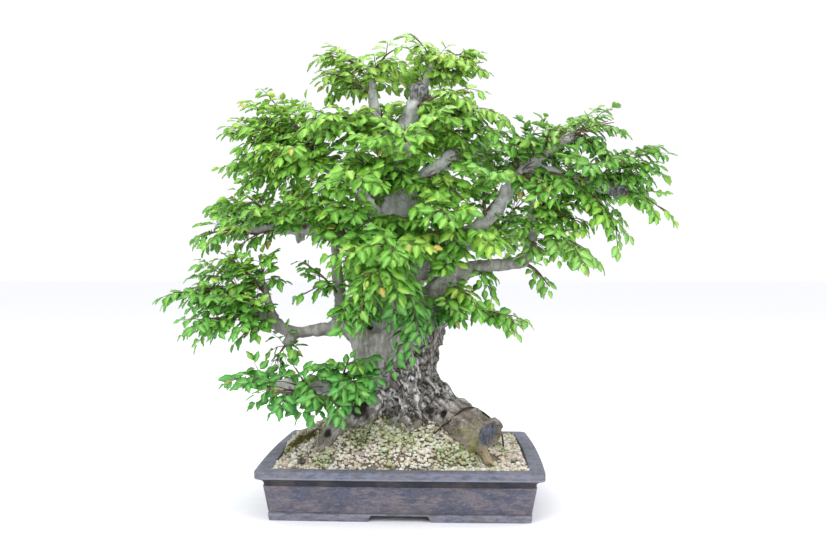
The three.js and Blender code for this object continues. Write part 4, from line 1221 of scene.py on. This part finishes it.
def grain_spots(settings, draw):
    """Places of the grains as (x, y, lift): a first layer in rows, then loose ones higher up."""
    half_width = POT_HALF_WIDTH - POT_SIDE_BOW - SOIL_EDGE_INSET - GRAIN_EDGE_GAP
    half_depth = POT_HALF_DEPTH - POT_FRONT_BOW - SOIL_EDGE_INSET - GRAIN_EDGE_GAP
    spacing = settings.grain_spacing / MM
    spots = []
    row = 0
    y = -half_depth
    while y < half_depth:
        x = -half_width + (row % 2) * spacing / 2
        while x < half_width:
            shift_x, shift_y = draw.uniform(-0.3, 0.3), draw.uniform(-0.3, 0.3)
            spots.append((x + shift_x * spacing, y + shift_y * spacing, 0.0))
            x += spacing
        y += spacing * ROW_SPACING_SHARE
        row += 1
    for _ in range(settings.loose_grains):
        x, y = draw.uniform(-half_width, half_width), draw.uniform(-half_depth, half_depth)
        spots.append((x, y, LOOSE_GRAIN_LIFT))
    return spots


def grain_matrix(spot, lift, settings, draw):
    """The place, turn and size of one grain."""
    length = settings.grain_size * draw.lognormvariate(0, 0.25)
    flat = draw.uniform(0.6, 0.95)
    turn = Matrix.Rotation(draw.uniform(0, 6.28), 4, "Z")
    turn = turn @ Matrix.Rotation(draw.gauss(0, 0.7), 4, "X")
    scale = Matrix.Diagonal((length, length * draw.uniform(0.65, 0.95), length * flat, 1))
    rise = Vector((0, 0, length * (lift + draw.uniform(-0.3, 0.3))))
    return Matrix.Translation(spot + rise) @ turn @ scale


def grain_look(x, y, distance, draw):
    """The tone and the algae of one grain by its place and its distance from the wood."""
    pinkish = noise.noise(Vector((x / 45, y / 45, 3)))
    tone = min(max(draw.betavariate(1.6, 1.05) - 0.2 * pinkish, 0), 1)
    near_trunk = 1 - ease(0.004, 0.03, distance)
    damp = ease(0.1, 0.6, noise.noise(Vector((x / 38, y / 38, 8))) + 0.35 * near_trunk)
    for (patch_x, patch_y), radius in GREEN_PATCHES:
        damp = max(damp, 1.6 - 1.2 * math.hypot(x - patch_x, y - patch_y) / radius)
    return tone, min(damp, 1) * draw.uniform(0.3, 1)


class BONSAI_OT_soil(bpy.types.Operator):
    """Fill the pot with a mound of fines and cover it with gravel grains"""

    bl_idname = "bonsai.soil"
    bl_label = "Soil and gravel"

    def execute(self, context):
        settings = context.scene.bonsai_soil
        bed = soil_bed(context.scene.bonsai_pot)
        make_piece("soil_bed", bed, [plain_material("soil_fines", settings.bed_colour)], ["soil"])

        wood = bpy.data.objects["wood"].data
        surface = BVHTree.FromPolygons([v.co for v in wood.vertices], [p.vertices for p in wood.polygons])
        draw = random.Random(GRAVEL_SEED)
        grains = []
        for x, y, lift in grain_spots(settings, draw):
            spot = place(x, y, ground_height(x, y))
            near, normal, _, distance = surface.find_nearest(spot)
            if (spot - near).dot(normal) < 0 and distance > GRAIN_DEPTH_IN_WOOD:
                continue
            matrix = grain_matrix(spot, lift, settings, draw)
            grains.append((matrix, *grain_look(x, y, distance, draw)))
        for x, y, size in STONES:
            spot = place(x, y, ground_height(x, y) + 0.45 * size + 2)
            turn = Matrix.Rotation(draw.uniform(0, 6.28), 4, "Z")
            scale = Matrix.Diagonal((size * MM, size * 0.8 * MM, size * 0.7 * MM, 1))
            grains.append((Matrix.Translation(spot) @ turn @ scale, STONE_TONE, 0.0))
        template = grain_template()
        bm = bmesh.new()
        scatter(bm, template, [matrix for matrix, _, _ in grains])
        mesh = bmesh_to_mesh(bm, "gravel", smooth=False)
        corners = range(len(template.vertices))
        set_point_values(mesh, "tone", [tone for _, tone, _ in grains for _ in corners])
        set_point_values(mesh, "algae", [algae for _, _, algae in grains for _ in corners])
        make_piece("gravel", mesh, [grain_material(settings)], ["soil"])
        return {"FINISHED"}


class BONSAI_OT_moss_tuft(bpy.types.Operator):
    """Lay a tuft of dry, curling moss fibres on the gravel at the left"""

    bl_idname = "bonsai.moss_tuft"
    bl_label = "Moss tuft"

    def execute(self, context):
        (middle_x, middle_y), (radius_x, radius_y), count = MOSS_TUFT
        draw = random.Random(MOSS_SEED)
        fibres = []
        for _ in range(count):
            x = middle_x + draw.gauss(0, 0.4) * radius_x
            y = middle_y + draw.gauss(0, 0.4) * radius_y
            turn = draw.uniform(0, 2 * math.pi)
            reach = draw.uniform(5, 14)
            across = Vector((math.cos(turn), math.sin(turn), 0))
            foot = Vector((x, y, ground_height(x, y) - 1))
            knee = foot + across * reach * 0.4 + UP * draw.uniform(4, 11)
            tip = foot + across * reach + UP * draw.uniform(0, 8)
            fibres.append(smooth_path([(*foot, 0.7), (*knee, 0.7), (*tip, 0.4)], 3))
        mesh = tube_curve("moss_tuft", fibres, 0)
        make_piece("moss_tuft", mesh, [plain_material("dry_moss")], ["soil"])
        return {"FINISHED"}


class BONSAI_OT_tie_wire(bpy.types.Operator):
    """Lay the dark tie wire over the right root"""

    bl_idname = "bonsai.tie_wire"
    bl_label = "Tie wire"

    def execute(self, context):
        route = smooth_path([(*spot, WIRE_RADIUS) for spot in WIRE_ROUTE], 6)
        mesh = tube_curve("tie_wire_run", [route], 3)
        make_piece("dark_wire", mesh, [plain_material("dark_tie_wire")], ["tie_wire"])
        return {"FINISHED"}


def leaf_template(settings):
    """One leaf along +X, its stalk at the origin: a toothed, folded, arched blade, thickest at its rib."""
    bm = bmesh.new()
    bmesh.ops.create_grid(bm, x_segments=LEAF_TEETH + 1, y_segments=2, size=0.5)
    uv = bm.loops.layers.uv.new("leaf")
    columns = {}
    for vert in bm.verts:
        column = round((vert.co.x + 0.5) * (LEAF_TEETH + 1))
        columns[vert] = (column, round(vert.co.y * 2), max(0.0, (column - 1) / LEAF_TEETH))
    for face in bm.faces:
        for loop in face.loops:
            column, side, share = columns[loop.vert]
            loop[uv].uv = (share, 0.5 + side / 2)
    for vert, (column, side, share) in columns.items():
        is_blade = 0 < share < 1
        half = math.sin(math.pi * share**0.72) ** 0.95 * 0.5 if is_blade else 0.035 * (column == 1)
        tooth = 1 + (0.08 if column % 2 == 0 else -0.06)
        x = share * (1 - LEAF_STALK) + LEAF_STALK if column else 0.0
        sweep = 0.035 if side and column % 2 == 0 and is_blade else 0.0
        vert.co.x = (x + sweep) * settings.length
        vert.co.y = side * half * tooth * settings.width
        ripple = 0.03 * settings.length * math.sin(9 * share + side) * abs(side) * is_blade
        vert.co.z = 0.32 * abs(vert.co.y) - 0.2 * x**2 * settings.length + ripple
    copied = bmesh.ops.duplicate(bm, geom=bm.verts[:] + bm.edges[:] + bm.faces[:])
    under = [part for part in copied["geom"] if isinstance(part, bmesh.types.BMFace)]
    for original, (column, side, share) in columns.items():
        if side == 0 and column > 0 and share < 1:
            copied["vert_map"][original].co.z -= 0.022 * settings.length
    bmesh.ops.reverse_faces(bm, faces=under)
    bmesh.ops.remove_doubles(bm, verts=bm.verts[:], dist=1e-6)
    bmesh.ops.triangulate(bm, faces=bm.faces[:])
    return bmesh_to_mesh(bm, "leaf")


def leaf_on_shoot(spot, heading, side, spread, draw):
    """The place and turn of one leaf: out to its side of the shoot, drooping, its face up and outwards."""
    outward = Vector((0.35 * (spot.x + 15), 1.5 * (spot.y - 30), 0)).normalized()
    lean = (UP * 0.8 + outward * 0.5).normalized()
    sidewise = heading.cross(lean).normalized()
    turn = draw.uniform(0.7, 1.15) if side else draw.uniform(-0.3, 0.3)
    pointing = heading * math.cos(turn) + sidewise * (side or 1) * math.sin(turn)
    pointing = (pointing - UP * (draw.uniform(-0.25, 0.45) + 0.2 * spread)).normalized()
    face = (lean - pointing * lean.dot(pointing)).normalized()
    face = Matrix.Rotation(draw.gauss(0, 0.45), 3, pointing) @ face
    turned = Matrix((pointing, face.cross(pointing), face)).transposed().to_4x4()
    return Matrix.Translation(place(*spot)) @ turned


def hides_wood(spot):
    """Whether a leaf at a spot in the frame would hide one of the openings from the camera's place."""
    eye = Vector(CAMERA_PLACE)
    sight = (spot - POT_CENTRE) / MM - eye
    for first, second, half_width in OPENINGS:
        depth = (first[1] + second[1]) / 2 - eye.y
        if sight.y > depth:
            continue
        seen = eye + sight * depth / sight.y
        first, second = Vector((first[0], seen.y, first[2])), Vector((second[0], seen.y, second[2]))
        _, share = geometry.intersect_point_line(seen, first, second)
        nearest = first.lerp(second, min(max(share, 0), 1))
        if (seen - nearest).length < half_width:
            return True
    return False


def shoot_leaves(shoot, length, spread, shoot_tone, settings, draw):
    """The leaves of one shoot from its tip back, as (matrix, tone) pairs."""
    leaves = []
    spacing = settings.spacing / MM
    steps = len(shoot) - 1
    for index in range(max(LEAST_LEAVES, round(min(length * 0.9, LEAFY_LENGTH) / spacing))):
        along = max(0.0, 1 - index * spacing / max(length, 1)) * steps
        low = min(int(along), steps - 1)
        spot = shoot[low][0].lerp(shoot[low + 1][0], along - low)
        heading = (shoot[low + 1][0] - shoot[low][0]).normalized()
        is_tip = index == 0
        side = 0 if is_tip else (1 if index % 2 else -1)
        size = draw.uniform(0.78, 1.16) * (TIP_LEAF_SIZE if is_tip else 1)
        matrix = leaf_on_shoot(spot, heading, side, spread, draw) @ Matrix.Scale(size, 4)
        tone = shoot_tone + draw.gauss(0, 0.08) + (0.12 if is_tip else 0)
        is_bronze = is_tip and draw.random() < BRONZE_SHARE
        if not hides_wood(matrix @ Vector((0.55 * settings.length, 0, 0))):
            leaves.append((matrix, 1.0 if is_bronze else min(max(tone, 0.02), 0.93)))
    return leaves


def spray_growth(growth, settings, draw):
    """The twigs of one growth, as runs of (point, radius), and its leaves, as (matrix, tone) pairs."""
    *root, twig, end_x, end_y, end_z, fullness = growth
    root = Vector(root)
    reach = Vector((end_x, end_y, end_z)) - root
    length = reach.length
    forward = reach.normalized()
    across = UP.cross(forward)
    across = across.normalized() if across.length > 0.2 else Vector((1, 0, 0))
    over = forward.cross(across)
    long_half = max(PAD_LENGTH_SHARE * length, LEAST_PAD_LENGTH)
    wide_half = PAD_WIDTH * fullness
    high_half = PAD_HEIGHT * fullness
    centre = root + forward * (length - long_half * 0.92) + UP * PAD_RISE
    main_end = centre + forward * long_half * 0.7
    middle = root.lerp(main_end, 0.5) + UP * length * 0.08
    main = smooth_path([(*root, 0.7 * twig), (*middle, 0.4 * twig), (*main_end, 0.8)], 5)
    runs = [main]
    leaves = []
    main_length = max((main_end - root).length, 1)
    area = math.pi * long_half * wide_half * MM * MM
    shoot_count = max(LEAST_SHOOTS, round(area / settings.shoot_area))
    spray_tone = draw.gauss(0, 0.05)
    for k in range(shoot_count):
        spread = math.sqrt((k + 0.5) / shoot_count)
        angle = SHOOT_TURN * k + draw.uniform(-0.25, 0.25)
        rise = draw.uniform(-1, 1) * math.sqrt(max(0.08, 1 - 0.8 * spread**2))
        out = spread * draw.uniform(0.9, 1.15)
        target = (
            centre + forward * long_half * out * math.cos(angle) + across * wide_half * out * math.sin(angle)
            + over * high_half * rise - UP * 6 * spread**2
        )
        travel = (target - root).dot(forward) / main_length
        sideways = abs((target - centre).dot(across)) / main_length
        share = min(max(travel - 0.45 * sideways - 0.3, 0.08), 0.96)
        origin = main[round(share * (len(main) - 1))][0]
        run_length = (target - origin).length
        bend = origin.lerp(target, 0.5) + UP * run_length * 0.1 + across * draw.gauss(0, 3)
        shoot = smooth_path([(*origin, 1.0), (*bend, 0.75), (*target, 0.4)], 3)
        runs.append(shoot)
        shoot_tone = 0.5 + spray_tone + 0.12 * rise + draw.gauss(0, 0.09)
        leaves += shoot_leaves(shoot, run_length, spread, shoot_tone, settings, draw)
    return runs, leaves


class BONSAI_OT_sprays(bpy.types.Operator):
    """Grow every leafy spray: its twigs and its toothed, folded leaves"""

    bl_idname = "bonsai.sprays"
    bl_label = "Leafy sprays"

    def execute(self, context):
        settings = context.scene.bonsai_leaf
        template = leaf_template(settings)
        materials = [leaf_material(settings), plain_material("young_twig")]
        for group_index, (group, sprays) in enumerate(SPRAYS.items()):
            for index, growths in enumerate(sprays):
                draw = random.Random(100 * group_index + index)
                name = f"{group}_{index + 1}"
                runs, leaves = [], []
                for growth in growths:
                    more_runs, more_leaves = spray_growth(growth, settings, draw)
                    runs += more_runs
                    leaves += more_leaves
                bm = bmesh.new()
                scatter(bm, template, [matrix for matrix, _ in leaves])
                leaf_faces = len(bm.faces)
                bm.from_mesh(tube_curve("twigs", runs, 0))
                mesh = bmesh_to_mesh(bm, f"foliage_{name}")
                tones = [tone for _, tone in leaves for _ in range(len(template.vertices))]
                tones += [0.0] * (len(mesh.vertices) - len(tones))
                set_point_values(mesh, "tone", tones)
                slots = [0] * leaf_faces + [1] * (len(mesh.polygons) - leaf_faces)
                mesh.polygons.foreach_set("material_index", slots)
                make_piece(f"foliage_{name}", mesh, materials, [f"spray_{name}"])
        return {"FINISHED"}


def studio_floor(settings):
    """The wide floor, which isn't part of the model."""
    bm = bmesh.new()
    bmesh.ops.create_circle(bm, cap_ends=True, segments=FLOOR_SIDES, radius=FLOOR_RADIUS)
    floor = bpy.data.objects.new("studio_floor", bmesh_to_mesh(bm, "studio_floor"))
    floor.data.materials.append(floor_material(settings))
    bpy.context.scene.collection.objects.link(floor)


def studio_light(settings):
    """The even light all round and the three big soft lamps."""
    world = bpy.data.worlds.new("studio_sky")
    world.use_nodes = True
    background = world.node_tree.nodes["Background"]
    background.inputs["Color"].default_value = rgba(tint("#fafbff"))
    background.inputs["Strength"].default_value = settings.sky_strength
    bpy.context.scene.world = world
    powers = (settings.key_power, settings.fill_power, settings.key_power * TOP_LIGHT_SHARE)
    for (name, (spot, size)), power in zip(LIGHTS.items(), powers):
        light = bpy.data.lights.new(name, "AREA")
        light.energy = power
        light.size = size
        lamp = bpy.data.objects.new(name, light)
        lamp.location = spot
        lamp.rotation_euler = (LIGHT_AIM - spot).to_track_quat("-Z", "Y").to_euler()
        bpy.context.scene.collection.objects.link(lamp)


def front_camera():
    """The camera in front of the tree."""
    data = bpy.data.cameras.new("front_camera")
    data.lens = CAMERA_LENS
    data.sensor_width = SENSOR_WIDTH
    data.clip_start = 0.05
    data.clip_end = 100
    camera = bpy.data.objects.new("front_camera", data)
    camera.location = place(*CAMERA_PLACE)
    camera.rotation_euler = (math.pi / 2 + CAMERA_TILT, 0, CAMERA_TURN)
    bpy.context.scene.collection.objects.link(camera)
    bpy.context.scene.camera = camera


class BONSAI_OT_stage(bpy.types.Operator):
    """Set up the pale floor, the soft studio light and the camera"""

    bl_idname = "bonsai.stage"
    bl_label = "Stage"

    def execute(self, context):
        settings = context.scene.bonsai_stage
        studio_floor(settings)
        studio_light(settings)
        front_camera()
        context.scene.view_settings.view_transform = "Standard"
        return {"FINISHED"}


class BONSAI_PT_panel(bpy.types.Panel):
    """Bonsai pieces and their settings"""

    bl_idname = "BONSAI_PT_panel"
    bl_label = "Hornbeam bonsai"
    bl_space_type = "VIEW_3D"
    bl_region_type = "UI"
    bl_category = "Bonsai"

    def draw(self, context):
        for name, operators in STEPS:
            box = self.layout.box()
            group = getattr(context.scene, name)
            for key in group.__annotations__:
                box.prop(group, key)
            for operator in operators:
                box.operator(operator.bl_idname)


STEPS = [
    ("bonsai_wood", [BONSAI_OT_wood]),
    ("bonsai_pot", [BONSAI_OT_pot, BONSAI_OT_drain_screens]),
    ("bonsai_soil", [BONSAI_OT_soil, BONSAI_OT_moss_tuft, BONSAI_OT_tie_wire]),
    ("bonsai_leaf", [BONSAI_OT_sprays]),
    ("bonsai_stage", [BONSAI_OT_stage]),
]
SETTINGS = {
    "bonsai_pot": PotSettings,
    "bonsai_soil": SoilSettings,
    "bonsai_wood": WoodSettings,
    "bonsai_leaf": LeafSettings,
    "bonsai_stage": StageSettings,
}
CLASSES = [*SETTINGS.values(), *(operator for _, group in STEPS for operator in group), BONSAI_PT_panel]


def register():
    for cls in CLASSES:
        bpy.utils.register_class(cls)
    for name, cls in SETTINGS.items():
        setattr(bpy.types.Scene, name, PointerProperty(type=cls))


def unregister():
    for name in SETTINGS:
        delattr(bpy.types.Scene, name)
    for cls in reversed(CLASSES):
        bpy.utils.unregister_class(cls)


def main():
    register()
    bpy.ops.bonsai.wood()
    bpy.ops.bonsai.pot()
    bpy.ops.bonsai.drain_screens()
    bpy.ops.bonsai.soil()
    bpy.ops.bonsai.moss_tuft()
    bpy.ops.bonsai.tie_wire()
    bpy.ops.bonsai.sprays()
    bpy.ops.bonsai.stage()
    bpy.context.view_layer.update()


if __name__ == "__main__":
    main()
